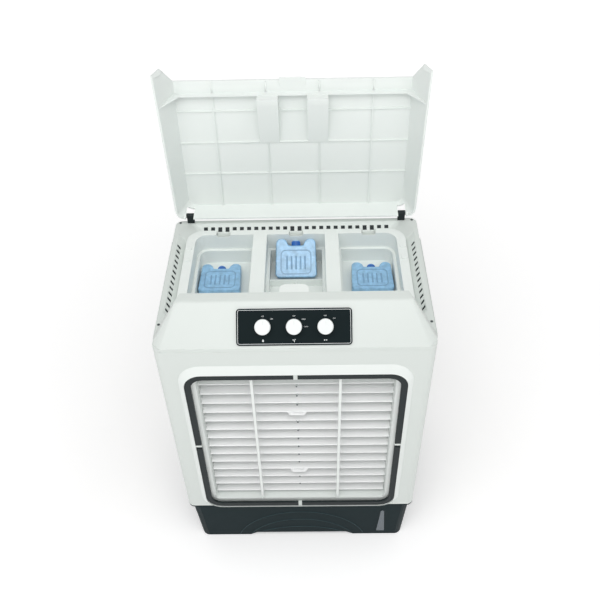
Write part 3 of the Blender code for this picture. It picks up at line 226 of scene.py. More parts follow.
def pin_hole_shade():
    # A grey disc down the middle of each louvre: painted shade of the pin hole.
    return moulded("grey POM, pin heads", shade(colours().steel, 1.3), 0.4)


def knob_abs():
    # Bright white ABS from a polished tool: the whitest, glossiest parts.
    return moulded("white ABS, polished moulded", colours().knob, 0.22, mottle=0.01, coat=0.2)


def inner_pp():
    # Natural polypropylene: a little greyer and waxier than the shell.
    return moulded("polypropylene, natural moulded", colours().inner, 0.46, ior=1.49, mottle=0.02)


def charcoal_pp():
    # Dark filled polypropylene with a coarse leathery grain that breaks up its highlights.
    return moulded("polypropylene, charcoal grained", colours().charcoal, 0.50, ior=1.49, mottle=0.10,
                   patch=0.03, grain=0.0022, depth=0.0001, sheen=0.05)


def charcoal_bead_highlight():
    # The same polypropylene painted paler on the raised beads: a painted highlight along them.
    return moulded("polypropylene, charcoal bead", shade(colours().charcoal, 2.6), 0.5, ior=1.49, mottle=0.08,
                   sheen=0.2)


def black_abs():
    # Black ABS with a polished tool: sharper, darker reflections than the shell.
    return moulded("black ABS, polished moulded", colours().black, 0.28, mottle=0.05, grain=0.003, sheen=0.15)


def trim_abs():
    # Black ABS with an eroded tool: dark and even, with only a faint sheen.
    return moulded("black ABS, matt moulded", colours().black, 0.55, mottle=0.05, sheen=0.3)


def panel_film():
    # Printed polyester film over the panel: deep black with a bare trace of sheen.
    return moulded("polyester film, black printed", colours().black, 0.45, ior=1.5, mottle=0.04, sheen=0.04)


def rubber():
    # Moulded EPDM: matt, with a dusty bloom.
    return moulded("EPDM rubber, moulded", colours().rubber, 0.75, ior=1.5, mottle=0.15, patch=0.01)


def cast_metal():
    # Die-cast aluminium: grey and grainy, with a wide metallic sheen.
    return moulded("aluminium, die cast", colours().metal, 0.38, ior=1.5, metallic=0.9, mottle=0.06,
                   patch=0.015, grain=0.002, depth=0.00008)


def screw_steel():
    # Zinc-plated steel, dulled: small dark metallic heads.
    return moulded("steel, zinc plated", colours().steel, 0.35, ior=1.5, metallic=1.0, mottle=0.1,
                   patch=0.004)


def ice_plastic():
    # Blow-moulded polyethylene over frozen gel: cloudy blue with pale frost and a waxy coat.
    return moulded("polyethylene, blow moulded blue", colours().ice, 0.30, ior=1.51, mottle=0.45, patch=0.016,
                   grain=0.004, depth=0.0002, coat=0.25)


def ridge_plastic():
    # The same blue plastic a shade darker on the ridges and their frame, which read as darker lines.
    return moulded("polyethylene, blue ridges", shade(colours().ice, 0.72), 0.30, ior=1.51, mottle=0.2,
                   patch=0.016, coat=0.25)


def cap_plastic():
    # The caps are a deeper, harder blue.
    return moulded("polypropylene, blue cap", colours().cap, 0.35, ior=1.49, mottle=0.05)


def cellulose():
    # Kraft cellulose stiffened with resin: matt, fibrous and blotchy with damp.
    return moulded("kraft cellulose, fluted", colours().pad, 0.88, ior=1.4, mottle=0.25, patch=0.012,
                   grain=0.0015, depth=0.0004)


def level_plastic():
    # Smoky polycarbonate: glossy and even.
    return moulded("polycarbonate, smoky", colours().lens, 0.14, ior=1.58, mottle=0.04, coat=0.3)


def print_ink():
    # Screen-printed ink: pale and matt.
    return moulded("screen-printed ink", colours().ink, 0.55, ior=1.5, mottle=0.02)


SLOT_FINISH = {
    "white_abs": white_abs,
    "inner_plastic": inner_pp,
    "tank_charcoal": charcoal_pp,
    "black_plastic": black_abs,
    "rubber": rubber,
    "motor_metal": cast_metal,
    "ice_pack_plastic": ice_plastic,
    "pad_fibre": cellulose,
    "level_lens": level_plastic,
}

# Names of the solids that get the whiter copy of the white ABS, as painted light, begin with these words.
LIT_WHITE_PARTS = ("lid", "ice_tray", "grille_frame", "swing_vane_")


def finish_of(node):
    slot = SLOT_OF[node]
    if slot != "white_abs":
        return SLOT_FINISH[slot]()
    if node.startswith("louvre_"):
        return louvre_lit_abs()
    return lit_white_abs() if node.startswith(LIT_WHITE_PARTS) else white_abs()


def finish(name, bm, body, material, nodes=(), sharp=SHARP):
    """Make a bmesh a piece: shaded smooth but for its sharp edges, riding a body, standing for nodes."""
    mesh = bpy.data.meshes.new(name)
    bm.to_mesh(mesh)
    bm.free()
    mesh.shade_smooth()
    mesh.set_sharp_from_angle(angle=sharp)
    mesh.materials.append(material)
    piece = bpy.data.objects.new(name, mesh)
    bpy.context.scene.collection.objects.link(piece)
    even = piece.modifiers.new("even shading", "WEIGHTED_NORMAL")
    even.keep_sharp = True
    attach(piece, body)
    if nodes:
        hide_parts(*nodes)
    return piece


def solid_of(node):
    """A merged bmesh copy of a CAD solid, with its flat faces whole again."""
    bm = bmesh.new()
    bm.from_mesh(NODES[node].data)
    bmesh.ops.remove_doubles(bm, verts=bm.verts, dist=MERGE)
    bmesh.ops.dissolve_limit(bm, angle_limit=FLAT, verts=bm.verts, edges=bm.edges)
    return bm


def bevel(bm, edges, width, segments):
    bmesh.ops.bevel(bm, geom=list(edges), offset=width, offset_type="OFFSET", affect="EDGES",
                    segments=segments, profile=0.5, material=-1, clamp_overlap=True)


def round_edges(bm, width, segments=2, shortest=0.0):
    """Round the creases of a shape that are longer than a given length."""
    bevel(bm, [edge for edge in bm.edges if len(edge.link_faces) == 2 and edge.calc_length() > shortest
               and edge.calc_face_angle(0.0) > CREASE], width, segments)


def dress(node, width=None, segments=2, shortest=0.004, suffix="moulding", material=None):
    """Replace a CAD solid with a copy that has rounded edges and a real finish."""
    bm = solid_of(node)
    round_edges(bm, sizes().edge if width is None else width, segments, shortest=shortest)
    return finish(f"{node}_{suffix}", bm, BODY_OF[node], material or finish_of(node), [node])


def fill_holes(bm):
    bmesh.ops.holes_fill(bm, edges=[edge for edge in bm.edges if edge.is_boundary])
    bmesh.ops.recalc_face_normals(bm, faces=bm.faces)


def keep_between(bm, axis, low, high):
    """Cut away what lies outside two planes across an axis, and close the cuts."""
    normal = Vector((axis == 0, axis == 1, axis == 2))
    for place, facing in ((low, -normal), (high, normal)):
        if place is not None:
            bmesh.ops.bisect_plane(bm, geom=bm.verts[:] + bm.edges[:] + bm.faces[:], dist=MERGE,
                                   plane_co=normal * place, plane_no=facing, clear_outer=True)
            fill_holes(bm)


def add_mesh(bm, other, turn=None):
    """Add another bmesh to this one, turned and moved by a matrix."""
    mesh = bpy.data.meshes.new("part")
    if turn:
        bmesh.ops.transform(other, matrix=turn, verts=other.verts)
    other.to_mesh(mesh)
    other.free()
    bm.from_mesh(mesh)
    bpy.data.meshes.remove(mesh)


def carve(bm, cutter):
    """A new bmesh: the first one with the second taken out of it."""
    holders = []
    for shape in (bm, cutter):
        mesh = bpy.data.meshes.new("carve")
        shape.to_mesh(mesh)
        shape.free()
        holder = bpy.data.objects.new("carve", mesh)
        bpy.context.scene.collection.objects.link(holder)
        holders.append(holder)
    target, tool = holders
    modifier = target.modifiers.new("carve", "BOOLEAN")
    modifier.operation = "DIFFERENCE"
    modifier.solver = "EXACT"
    modifier.object = tool
    bpy.context.view_layer.update()
    mesh = bpy.data.meshes.new_from_object(target.evaluated_get(bpy.context.evaluated_depsgraph_get()))
    carved = bmesh.new()
    carved.from_mesh(mesh)
    bpy.data.meshes.remove(mesh)
    for holder in holders:
        mesh = holder.data
        bpy.data.objects.remove(holder)
        bpy.data.meshes.remove(mesh)
    return carved


def loop_of(bm, points):
    """A closed loop of edges through a row of points."""
    verts = [bm.verts.new(point) for point in points]
    return [bm.edges.new((a, b)) for a, b in zip(verts, verts[1:] + verts[:1])]


def band(bm, rings):
    """A closed band through rings of points, the last one joined to the first."""
    loops = [loop_of(bm, ring) for ring in rings]
    for a, b in zip(loops, loops[1:] + loops[:1]):
        bmesh.ops.bridge_loops(bm, edges=a + b)
    bmesh.ops.recalc_face_normals(bm, faces=bm.faces)


def prism(bm, points, along, edge=0.0, segments=2):
    """A flat-ended solid: a face through a row of points, pushed out along a vector, its edges rounded."""
    face = bm.faces.new([bm.verts.new(point) for point in points])
    grown = bmesh.ops.extrude_face_region(bm, geom=[face])["geom"]
    verts = [item for item in grown if isinstance(item, bmesh.types.BMVert)]
    bmesh.ops.translate(bm, vec=along, verts=verts)
    faces = {f for v in verts for f in v.link_faces} | {face}
    bmesh.ops.recalc_face_normals(bm, faces=list(faces))
    if edge:
        bevel(bm, {e for f in faces for e in f.edges if e.calc_face_angle(0.0) > SHARP}, edge, segments)


def corner_points(x0, x1, y0, y1, low_radius, high_radius, steps=8):
    """A rectangle's outline with round corners of one radius at y0 and another at y1."""
    points = []
    for cx, cy, radius, start in ((x1 - high_radius, y1 - high_radius, high_radius, 0),
                                  (x0 + high_radius, y1 - high_radius, high_radius, 90),
                                  (x0 + low_radius, y0 + low_radius, low_radius, 180),
                                  (x1 - low_radius, y0 + low_radius, low_radius, 270)):
        for i in range(steps + 1):
            angle = math.radians(start + 90 * i / steps)
            points.append((cx + radius * math.cos(angle), cy + radius * math.sin(angle)))
    return points


def tube(bm, points, radius, sides=8):
    """A round bead that follows a row of points, with its ends closed."""
    rows = []
    for i, point in enumerate(points):
        ahead = Vector(points[min(i + 1, len(points) - 1)]) - Vector(points[max(i - 1, 0)])
        turn = ahead.to_track_quat("Z", "Y").to_matrix().to_4x4()
        ring = bmesh.ops.create_circle(bm, segments=sides, radius=radius,
                                       matrix=Matrix.Translation(point) @ turn)["verts"]
        rows.append(list({e for v in ring for e in v.link_edges}))
    for a, b in zip(rows, rows[1:]):
        bmesh.ops.bridge_loops(bm, edges=a + b)
    for end in (rows[0], rows[-1]):
        bmesh.ops.contextual_create(bm, geom=end)
    bmesh.ops.recalc_face_normals(bm, faces=bm.faces)


def plug(bm, radius, tall, sides, turn, edge=0.0, segments=2):
    """A round solid that stands on its foot, with its rims rounded."""
    made = bmesh.ops.create_cone(bm, cap_ends=True, segments=sides, radius1=radius, radius2=radius,
                                 depth=tall, matrix=turn @ Matrix.Translation((0, 0, tall / 2)))["verts"]
    if edge:
        bevel(bm, {e for v in made for e in v.link_edges if e.calc_face_angle(0.0) > SHARP}, edge, segments)


def words(bm, text, size, turn, deep=0.00015):
    """Raised letters, centred on the origin of a matrix."""
    curve = bpy.data.curves.new("letters", "FONT")
    curve.body = text
    curve.size = size
    curve.extrude = deep
    curve.align_x = "CENTER"
    curve.align_y = "CENTER"
    holder = bpy.data.objects.new("letters", curve)
    bpy.context.scene.collection.objects.link(holder)
    mesh = bpy.data.meshes.new_from_object(holder.evaluated_get(bpy.context.evaluated_depsgraph_get()))
    letters = bmesh.new()
    letters.from_mesh(mesh)
    bmesh.ops.remove_doubles(letters, verts=letters.verts, dist=MERGE)
    bmesh.ops.recalc_face_normals(letters, faces=letters.faces)
    add_mesh(bm, letters, turn)
    bpy.data.objects.remove(holder)
    bpy.data.curves.remove(curve)
    bpy.data.meshes.remove(mesh)


# Half-width, rise and foot's height of the tank's moulded arcs, their bead radius and number of steps.
# The tank's front stands back from its flange and leans in. Grip ridges stand round the drain plug's head.
ARCS = ((0.193, 0.1450, 0.0025), (0.158, 0.0982, 0.0025), (0.130, 0.0366, 0.0170))
ARC_BEAD = 0.0011
ARC_STEPS = 48
TANK_INSET = 0.008
TANK_TAPER = 0.011
PLUG_RIDGES = 24
PLUG_RIDGE = 0.0009
PLUG_RIDGE_SINK = 0.0006
PLUG_RIDGE_ENDS = (0.0118, 0.0022)


class COOLER_OT_tank(bpy.types.Operator):
    """Build the water tank with its window and drain plug"""
    bl_idname = "cooler.tank"
    bl_label = "Tank"

    def execute(self, context):
        dress("water_tank", 0.003, 3, 0.02)
        dress("level_window", 0.0015, 3)
        self.arcs()
        self.drain()
        return {"FINISHED"}

    def arcs(self):
        """Three moulded beads in rising arcs on the tank's front, which leans in towards its foot."""
        low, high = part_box("water_tank")
        bm = bmesh.new()
        for half, rise, foot in ARCS:
            radius = (half * half + rise * rise) / (2 * rise)
            sweep = math.asin(half / radius)
            points = []
            for i in range(ARC_STEPS + 1):
                angle = sweep * (2 * i / ARC_STEPS - 1)
                z = foot + rise - radius * (1 - math.cos(angle))
                inset = TANK_INSET + TANK_TAPER * (1 - z / high.z)
                points.append((radius * math.sin(angle), low.y + inset, z))
            tube(bm, points, ARC_BEAD)
        # The beads' paler charcoal is a painted highlight.
        finish("water_tank_arcs", bm, "housing", charcoal_bead_highlight())

    def drain(self):
        """The drain plug with grip ridges round its head."""
        low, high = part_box("drain_plug")
        bm = solid_of("drain_plug")
        round_edges(bm, 0.0012, 2)
        centre = Vector(((low.x + high.x) / 2, 0, (low.z + high.z) / 2))
        radius = (high.x - low.x) / 2
        for i in range(PLUG_RIDGES):
            angle = 2 * math.pi * i / PLUG_RIDGES
            foot = centre + Vector((math.cos(angle), 0, math.sin(angle))) * (radius - PLUG_RIDGE_SINK)
            tube(bm, [foot + Vector((0, high.y - inset, 0)) for inset in PLUG_RIDGE_ENDS], PLUG_RIDGE, 6)
        finish("drain_plug_moulding", bm, "drain_plug", charcoal_pp(), ["drain_plug"])


class COOLER_OT_cabinet(bpy.types.Operator):
    """Build the white cabinet and the cord gland"""
    bl_idname = "cooler.cabinet"
    bl_label = "Cabinet"

    def execute(self, context):
        dress("cabinet", sizes().shell_edge, 3, 0.02)
        dress("cord_gland", FINE, shortest=0.001)
        return {"FINISHED"}


# The grille: blades in a bank, the border's corner radius and the gap round it, the raised surround's foot,
# profile and rise, the places of the strokes and bridges, and the finger grip's ridges and the grey discs
# that paint the pin holes' shade.
BANK = 7
BORDER_CORNER = 0.045
GAP = 0.0003
SURROUND_FOOT = 0.004
SURROUND_PROFILE = ((1.0, -0.15), (1.0, 0.02), (0.95, 0.12), (0.12, 0.95), (0.0, 1.0), (0.0, -0.15))
SURROUND_RISE = 0.0085
BORDER_SHIFT = 0.0055
BORDER_LIFT = 0.0050
BRIDGE_LIFT = 0.0060
GRIP_RIDGES = 4
GRIP_IN = 0.0022
GRIP_PITCH = 0.0022
GRIP_HALF = 0.014
GRIP_BEAD = 0.0006
PIN_IN = 0.013
PIN_SINK = 0.0012
PIN_RADIUS = 0.0022
PIN_TALL = 0.0016


class COOLER_OT_grille(bpy.types.Operator):
    """Build the grille's border, frame, louvres, vanes and swing drive"""
    bl_idname = "cooler.grille"
    bl_label = "Grille"

    def execute(self, context):
        self.border()
        self.surround()
        dress("grille_frame", FINE, shortest=0.01)
        for node in NODES:
            if node.startswith(("louvre_", "swing_")):
                dress(node, THIN, shortest=0.01)
        for bank in ("upper", "lower"):
            self.grip(f"louvre_{bank}_4")
            for place in range(1, BANK + 1):
                self.pin(f"louvre_{bank}_{place}")
        return {"FINISHED"}

    def border(self):
        """Four black strokes, with short white bridges between them at the middle of each side."""
        low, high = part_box("grille_border")
        middle = (low.z + high.z) / 2 + BRIDGE_LIFT
        gap = sizes().border_gap / 2
        strokes, bridges = bmesh.new(), bmesh.new()
        for x0, x1 in ((None, -gap), (gap, None)):
            for z0, z1 in ((None, middle - gap), (middle + gap, None)):
                stroke = solid_of("grille_border")
                keep_between(stroke, 0, x0, x1)
                keep_between(stroke, 2, z0, z1)
                round_edges(stroke, FINE)
                add_mesh(strokes, stroke)
        for along, spot, across, half_line in ((0, 0.0, 2, middle), (2, middle, 0, 0.0)):
            for low_cut, high_cut in ((None, half_line), (half_line, None)):
                bridge = solid_of("grille_border")
                keep_between(bridge, along, spot - gap, spot + gap)
                keep_between(bridge, across, low_cut, high_cut)
                add_mesh(bridges, bridge)
        for shape in (strokes, bridges):
            bmesh.ops.translate(shape, vec=(0, -BORDER_SHIFT, BORDER_LIFT), verts=shape.verts)
        finish("grille_border_strokes", strokes, "housing", trim_abs(), ["grille_border"])
        finish("grille_border_bridges", bridges, "housing", white_abs())

    def surround(self):
        """A softly raised field of the cabinet's front round the border, in the whiter ABS: a painted
        highlight on its rise.
        """
        low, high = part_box("grille_border")
        side, top = sizes().surround_side, sizes().surround_top
        rings = []
        for share, lift in SURROUND_PROFILE:
            rise = SURROUND_RISE * lift
            outline = corner_points(low.x - GAP - side * share, high.x + GAP + side * share,
                                    low.z - GAP - SURROUND_FOOT * share,
                                    high.z + BORDER_LIFT + GAP + top * share,
                                    BORDER_CORNER + SURROUND_FOOT * share, BORDER_CORNER + side * share)
            rings.append([(x, FRONT - rise, z) for x, z in outline])
        bm = bmesh.new()
        band(bm, rings)
        # The whiter ABS here is a painted highlight where the surround rises.
        finish("cabinet_surround", bm, "housing", lit_white_abs(), sharp=math.radians(50))

    def grip(self, node):
        """Fine finger ridges across the tab of the blade that tilts its bank."""
        low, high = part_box(node)
        bm = bmesh.new()
        for i in range(GRIP_RIDGES):
            y = low.y + GRIP_IN + GRIP_PITCH * i
            tube(bm, [(x, y, high.z) for x in (-GRIP_HALF, GRIP_HALF)], GRIP_BEAD, 6)
        # The grip ridges take the blades' painted-light white.
        finish(f"{node}_grip", bm, node, louvre_lit_abs())

    def pin(self, node):
        """A grey disc at the pin by which a blade hangs on its link rod: painted shade of the pin hole."""
        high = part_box(node)[1]
        bm = bmesh.new()
        turn = Matrix.Translation((0, high.y - PIN_IN, high.z - PIN_SINK))
        plug(bm, PIN_RADIUS, PIN_TALL, 12, turn, 0.0004)
        finish(f"{node}_pin", bm, node, pin_hole_shade())


class COOLER_OT_fan(bpy.types.Operator):
    """Build the fan, its motor and its shroud"""
    bl_idname = "cooler.fan"
    bl_label = "Fan"

    def execute(self, context):
        for node in ("fan_shroud", "fan_rotor", "fan_motor"):
            dress(node, FINE, shortest=0.01)
        return {"FINISHED"}


# Depth of a pad's flutes as a share of its thickness, and their slant.
FLUTE_SHARE = 0.16
FLUTE_SLANT = math.radians(30.0)


class COOLER_OT_pads(bpy.types.Operator):
    """Build the slatted pad panels and the cooling pads"""
    bl_idname = "cooler.pads"
    bl_label = "Pads"

    def execute(self, context):
        for side in ("left", "right", "rear"):
            dress(f"pad_panel_{side}", HEAVY)
            self.pad(side)
        return {"FINISHED"}

    def pad(self, side):
        """A cooling pad with slanting flutes on both faces."""
        node = f"cooling_pad_{side}"
        low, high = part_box(node)
        size = high - low
        rear = side == "rear"
        wide = size.x if rear else size.y
        thick = size.y if rear else size.x
        wave = thick * FLUTE_SHARE
        pitch = sizes().flute
        columns, rows = round(wide / pitch * 4), round(size.z / pitch * 4)
        bm = bmesh.new()
        for face in (-1, 1):
            verts = bmesh.ops.create_grid(bm, x_segments=columns, y_segments=rows, size=0.5)["verts"]
            bmesh.ops.scale(bm, vec=(wide, size.z, 1), verts=verts)
            edges = [edge for edge in {e for v in verts for e in v.link_edges} if edge.is_boundary]
            rim = {v for edge in edges for v in edge.verts}
            for vert in verts:
                slant = vert.co.y * math.cos(FLUTE_SLANT) + face * vert.co.x * math.sin(FLUTE_SLANT)
                dip = 0.5 - 0.5 * math.cos(2 * math.pi * slant / pitch)
                vert.co.z = face * (thick / 2 - (wave * dip if vert not in rim else 0.0))
        edges = [edge for edge in bm.edges if edge.is_boundary]
        bmesh.ops.bridge_loops(bm, edges=edges)
        bmesh.ops.recalc_face_normals(bm, faces=bm.faces)
        turn = Matrix.Rotation(math.radians(90), 4, "X")
        if not rear:
            turn = Matrix.Rotation(math.radians(90), 4, "Z") @ turn
        bmesh.ops.transform(bm, matrix=Matrix.Translation((low + high) / 2) @ turn, verts=bm.verts)
        finish(f"{node}_flutes", bm, f"pad_{side}", cellulose(), [node], sharp=math.radians(60))


class COOLER_OT_water(bpy.types.Operator):
    """Build the pump, the riser hose and the distributor"""
    bl_idname = "cooler.water"
    bl_label = "Water path"

    def execute(self, context):
        for node in ("water_distributor", "water_pump", "riser_hose"):
            dress(node, 0.0006)
        return {"FINISHED"}


# Places of the deck's screws, and the radius, height and seat of their heads.
SCREWS = ((-0.3175, 0.2305), (0.3175, 0.2305), (-0.3235, -0.1590), (0.3235, -0.1590))
SCREW_HEAD = 0.0034
SCREW_TALL = 0.0018
SCREW_SINK = 0.0006

# The well's wall: its upper edge at the sides and the rear, its fall inwards and downwards.
WELL_SIDE = 0.318
WELL_REAR = 0.228
WELL_RUN = 0.021
WELL_FALL = 0.018

# The side vents: their number on each side, the place of the first, their pitch, half-width and lean, and the
# part of the wall that they take, as shares of its fall, and their depth. A thin liner closes the wall under
# them, and a dark sheet lies behind as painted shade seen through them: each with its shares of the fall and
# its depth in the wall.
VENTS = 13
VENT_FIRST = 0.1355
VENT_PITCH = 0.0202
VENT_HALF = 0.0042
VENT_LEAN = 0.0040
VENT_SHARES = (0.13, 0.52)
VENT_DEPTHS = (-0.002, 0.0060)
LINER_SHARES = (0.36, 0.98)
LINER_DEPTHS = (-0.0003, 0.0008)
LINER_ENDS = (-0.140, 0.160)
SHADE_SHEET_SHARES = (0.06, 1.05)
SHADE_SHEET_DEPTHS = (0.0009, 0.0014)
SHADE_SHEET_REAR_HALF = 0.268


def wall_strip(shares, depths):
    """A strip's section on the well's wall: inset from the wall's edge and height, at four corners."""
    head, foot = shares
    front, back = depths
    slope = math.hypot(WELL_RUN, WELL_FALL)
    out, down = WELL_FALL / slope, WELL_RUN / slope
    return [(WELL_RUN * share - out * depth, SHOULDER - WELL_FALL * share - down * depth)
            for share, depth in ((head, front), (foot, front), (foot, back), (head, back))]


class COOLER_OT_deck(bpy.types.Operator):
    """Build the top deck with its slotted well"""
    bl_idname = "cooler.deck"
    bl_label = "Deck"

    def execute(self, context):
        deck = solid_of("top_deck")
        round_edges(deck, FINE, shortest=0.02)
        deck = carve(deck, self.vents())
        finish("top_deck_moulding", deck, "housing", white_abs(), ["top_deck"])
        liner, shade_sheet = bmesh.new(), bmesh.new()
        start, end = LINER_ENDS
        shade_section = wall_strip(SHADE_SHEET_SHARES, SHADE_SHEET_DEPTHS)
        for side in (-1, 1):
            for strip, section in ((liner, wall_strip(LINER_SHARES, LINER_DEPTHS)), (shade_sheet, shade_section)):
                points = [(side * (WELL_SIDE - inset), start, z) for inset, z in section]
                prism(strip, points, (0, end - start, 0))
        points = [(-SHADE_SHEET_REAR_HALF, WELL_REAR - inset, z) for inset, z in shade_section]
        prism(shade_sheet, points, (SHADE_SHEET_REAR_HALF * 2, 0, 0))
        finish("top_deck_liner", carve(liner, self.vents()), "housing", white_abs())
        # A dark sheet behind the vents and along the rear wall: painted shade inside the well.
        finish("top_deck_gauze", shade_sheet, "housing", trim_abs())
        bm = bmesh.new()
        for x, y in SCREWS:
            self.screw(bm, Matrix.Translation((x, y, SHOULDER - SCREW_SINK)))
        finish("top_deck_screws", bm, "housing", screw_steel())
        return {"FINISHED"}

    def vents(self):
        """The slits through the well's side walls, as one cutter."""
        cutter = bmesh.new()
        section = wall_strip(VENT_SHARES, VENT_DEPTHS)
        leans = (VENT_LEAN, -VENT_LEAN, -VENT_LEAN, VENT_LEAN)
        for side in (-1, 1):
            for i in range(VENTS):
                y = VENT_FIRST - VENT_PITCH * i - VENT_HALF
                points = [(side * (WELL_SIDE - inset), y + lean, z)
                          for (inset, z), lean in zip(section, leans)]
                prism(cutter, points, (0, VENT_HALF * 2, 0))
        return cutter

    def screw(self, bm, place):
        """A pan-head screw with a round recess sunk in its head."""
        made = bmesh.new()
        plug(made, SCREW_HEAD, SCREW_TALL, 24, Matrix.Identity(4), 0.0006)
        top = max(made.faces, key=lambda face: face.calc_center_median().z)
        bmesh.ops.inset_individual(made, faces=[top], thickness=SCREW_HEAD * 0.45, depth=0.0)
        bmesh.ops.inset_individual(made, faces=[top], thickness=0.0002, depth=-0.0009)
        add_mesh(bm, made, place)


# The console: its finger tongue, and the print on its panel: its height, its frame's two outlines, the knobs'
# pitch, the reach of the words from a knob's axis, and the place of the icons under it.
TONGUE_HALF = 0.035
TONGUE_LONG = 0.0305
TONGUE_ROUND = 0.016
TONGUE_DROP = 0.0025
TONGUE_TALL = 0.004
TONGUE_ROOT = 0.004
PRINT = 0.00015
PRINT_SINK = 0.0001
PRINT_FRAME = (0.0032, 0.0041)
KNOB_PITCH = 0.0715
LABEL_REACH = 0.0245
LABEL_ASIDE = 0.003
ICON_DROP = -0.0310
PUMP_MARKS = (("OFF", 90), ("ON", 42))
FAN_MARKS = (("OFF", 90), ("HIGH", 38), ("LOW", 0))

# The icons: a drop's tip, round foot and its fall, a fan's hub and one blade, and half of a two-way arrow.
DROP_TIP = 0.0034
DROP_RADIUS = 0.0021
DROP_LOW = 0.0010
DROP_STEPS = 12
FAN_HUB = 0.0008
FAN_BLADE = ((0.0009, 0.0004), (0.0022, 0.0006), (0.0034, 0.0018), (0.0030, 0.0028), (0.0016, 0.0024),
             (0.0006, 0.0012))
ARROW = ((0.0006, 0.0005), (0.0020, 0.0005), (0.0020, 0.0016), (0.0040, 0.0), (0.0020, -0.0016),
         (0.0020, -0.0005), (0.0006, -0.0005))


def panel_frame():
    """A matrix for the sloping panel: its origin on the middle knob's axis and Z out of the panel."""
    joint = joint_of("knob_fan_turn")
    out = Vector(joint["axis"]).normalized()
    across = Vector((1, 0, 0))
    turn = Matrix((across, out.cross(across), out)).transposed().to_4x4()
    return Matrix.Translation(joint["pos_m"]) @ turn


class COOLER_OT_console(bpy.types.Operator):
    """Build the sloping console, its panel and its switches"""
    bl_idname = "cooler.console"
    bl_label = "Console"

    def execute(self, context):
        dress("control_console", sizes().console_edge, 4, 0.02)
        dress("switch_block", FINE)
        self.tongue()
        self.panel()
        return {"FINISHED"}

    def tongue(self):
        """A rounded finger tongue behind the console's crest."""
        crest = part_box("control_console")[1]
        bm = bmesh.new()
        outline = corner_points(-TONGUE_HALF, TONGUE_HALF, crest.y - TONGUE_ROOT, crest.y + TONGUE_LONG,
                                TONGUE_ROOT / 2, TONGUE_ROUND)
        foot = crest.z - TONGUE_DROP - TONGUE_TALL
        prism(bm, [(x, y, foot) for x, y in outline], (0, 0, TONGUE_TALL), 0.0012, 3)
        # The whiter ABS on the tongue is painted light.
        finish("control_console_tongue", bm, "housing", lit_white_abs())

    def panel(self):
        """The black control panel with its round corners, and the pale print on it."""
        turn = panel_frame()
        back = turn.inverted()
        xs, ys, zs = zip(*(back @ vert.co for vert in NODES["control_panel"].data.vertices))
        half, low, high, foot, face = max(xs), min(ys), max(ys), min(zs), max(zs)
        corner = sizes().panel_corner
        bm = bmesh.new()
        outline = corner_points(-half, half, low, high, corner, corner)
        prism(bm, [(x, y, foot) for x, y in outline], (0, 0, face - foot), 0.0006)
        bmesh.ops.transform(bm, matrix=turn, verts=bm.verts)
        finish("control_panel_plate", bm, "housing", panel_film(), ["control_panel"])

        ink = bmesh.new()
        rings = []
        outer, inner = PRINT_FRAME
        for inset, rise in ((outer, -PRINT_SINK), (outer, PRINT), (inner, PRINT), (inner, -PRINT_SINK)):
            outline = corner_points(-half + inset, half - inset, low + inset, high - inset, corner - inset,
                                    corner - inset)
            rings.append([(x, y, face + rise) for x, y in outline])
        band(ink, rings)
        size = sizes().letter
        for x, marks in ((-KNOB_PITCH, PUMP_MARKS), (0.0, FAN_MARKS), (KNOB_PITCH, PUMP_MARKS)):
            for text, angle in marks:
                reach = LABEL_REACH + (0.0 if angle == 90 else LABEL_ASIDE)
                turned = math.radians(angle)
                spot = (x + reach * math.cos(turned), reach * math.sin(turned), face)
                words(ink, text, size, Matrix.Translation(spot))
        self.icons(ink, face)
        bmesh.ops.transform(ink, matrix=turn, verts=ink.verts)
        finish("control_panel_print", ink, "housing", print_ink())

    def icons(self, ink, face):
        """A drop, a three-bladed fan and a two-way arrow under the three knobs."""
        up = (0, 0, PRINT * 2)
        middle = Matrix.Translation((0, ICON_DROP, face - PRINT))
        drop = [(0.0, DROP_TIP)]
        for i in range(DROP_STEPS + 1):
            angle = math.radians(20 - 220 * i / DROP_STEPS)
            drop.append((DROP_RADIUS * math.cos(angle), DROP_RADIUS * math.sin(angle) - DROP_LOW))
        prism(ink, [middle @ Vector((x - KNOB_PITCH, y, 0)) for x, y in drop], up)
        plug(ink, FAN_HUB, PRINT * 2, 12, middle)
        for third in range(3):
            swing = middle @ Matrix.Rotation(math.radians(120 * third), 4, "Z")
            prism(ink, [swing @ Vector((x, y, 0)) for x, y in FAN_BLADE], up)
        for sign in (-1, 1):
            prism(ink, [middle @ Vector((KNOB_PITCH + sign * x, y, 0)) for x, y in ARROW], up)


# The knobs: their radius, the rounding of their rims, their skirt and their pointer's ends as shares of the
# radius, and its bead.
KNOB_RADIUS = 0.0183
KNOB_ROUND = 0.0028
KNOB_SKIRT = 0.7
POINTER = (0.25, 0.78)
POINTER_BEAD = 0.0009


class COOLER_OT_knobs(bpy.types.Operator):
    """Build the three control knobs"""
    bl_idname = "cooler.knobs"
    bl_label = "Knobs"

    def execute(self, context):
        turn = panel_frame()
        back = turn.inverted()
        for use in ("pump", "fan", "swing"):
            node = f"knob_{use}"
            points = [back @ vert.co for vert in NODES[node].data.vertices]
            centre = (min(point.x for point in points) + max(point.x for point in points)) / 2
            foot = min(point.z for point in points if abs(point.x - centre) > KNOB_RADIUS * KNOB_SKIRT)
            top = max(point.z for point in points)
            bm = bmesh.new()
            plug(bm, KNOB_RADIUS, top - foot, 64, Matrix.Translation((centre, 0, foot)), KNOB_ROUND, 5)
            tube(bm, [(centre, KNOB_RADIUS * share, top) for share in POINTER], POINTER_BEAD, 8)
            bmesh.ops.transform(bm, matrix=turn, verts=bm.verts)
            finish(f"{node}_cap", bm, node, knob_abs(), [node])
        return {"FINISHED"}


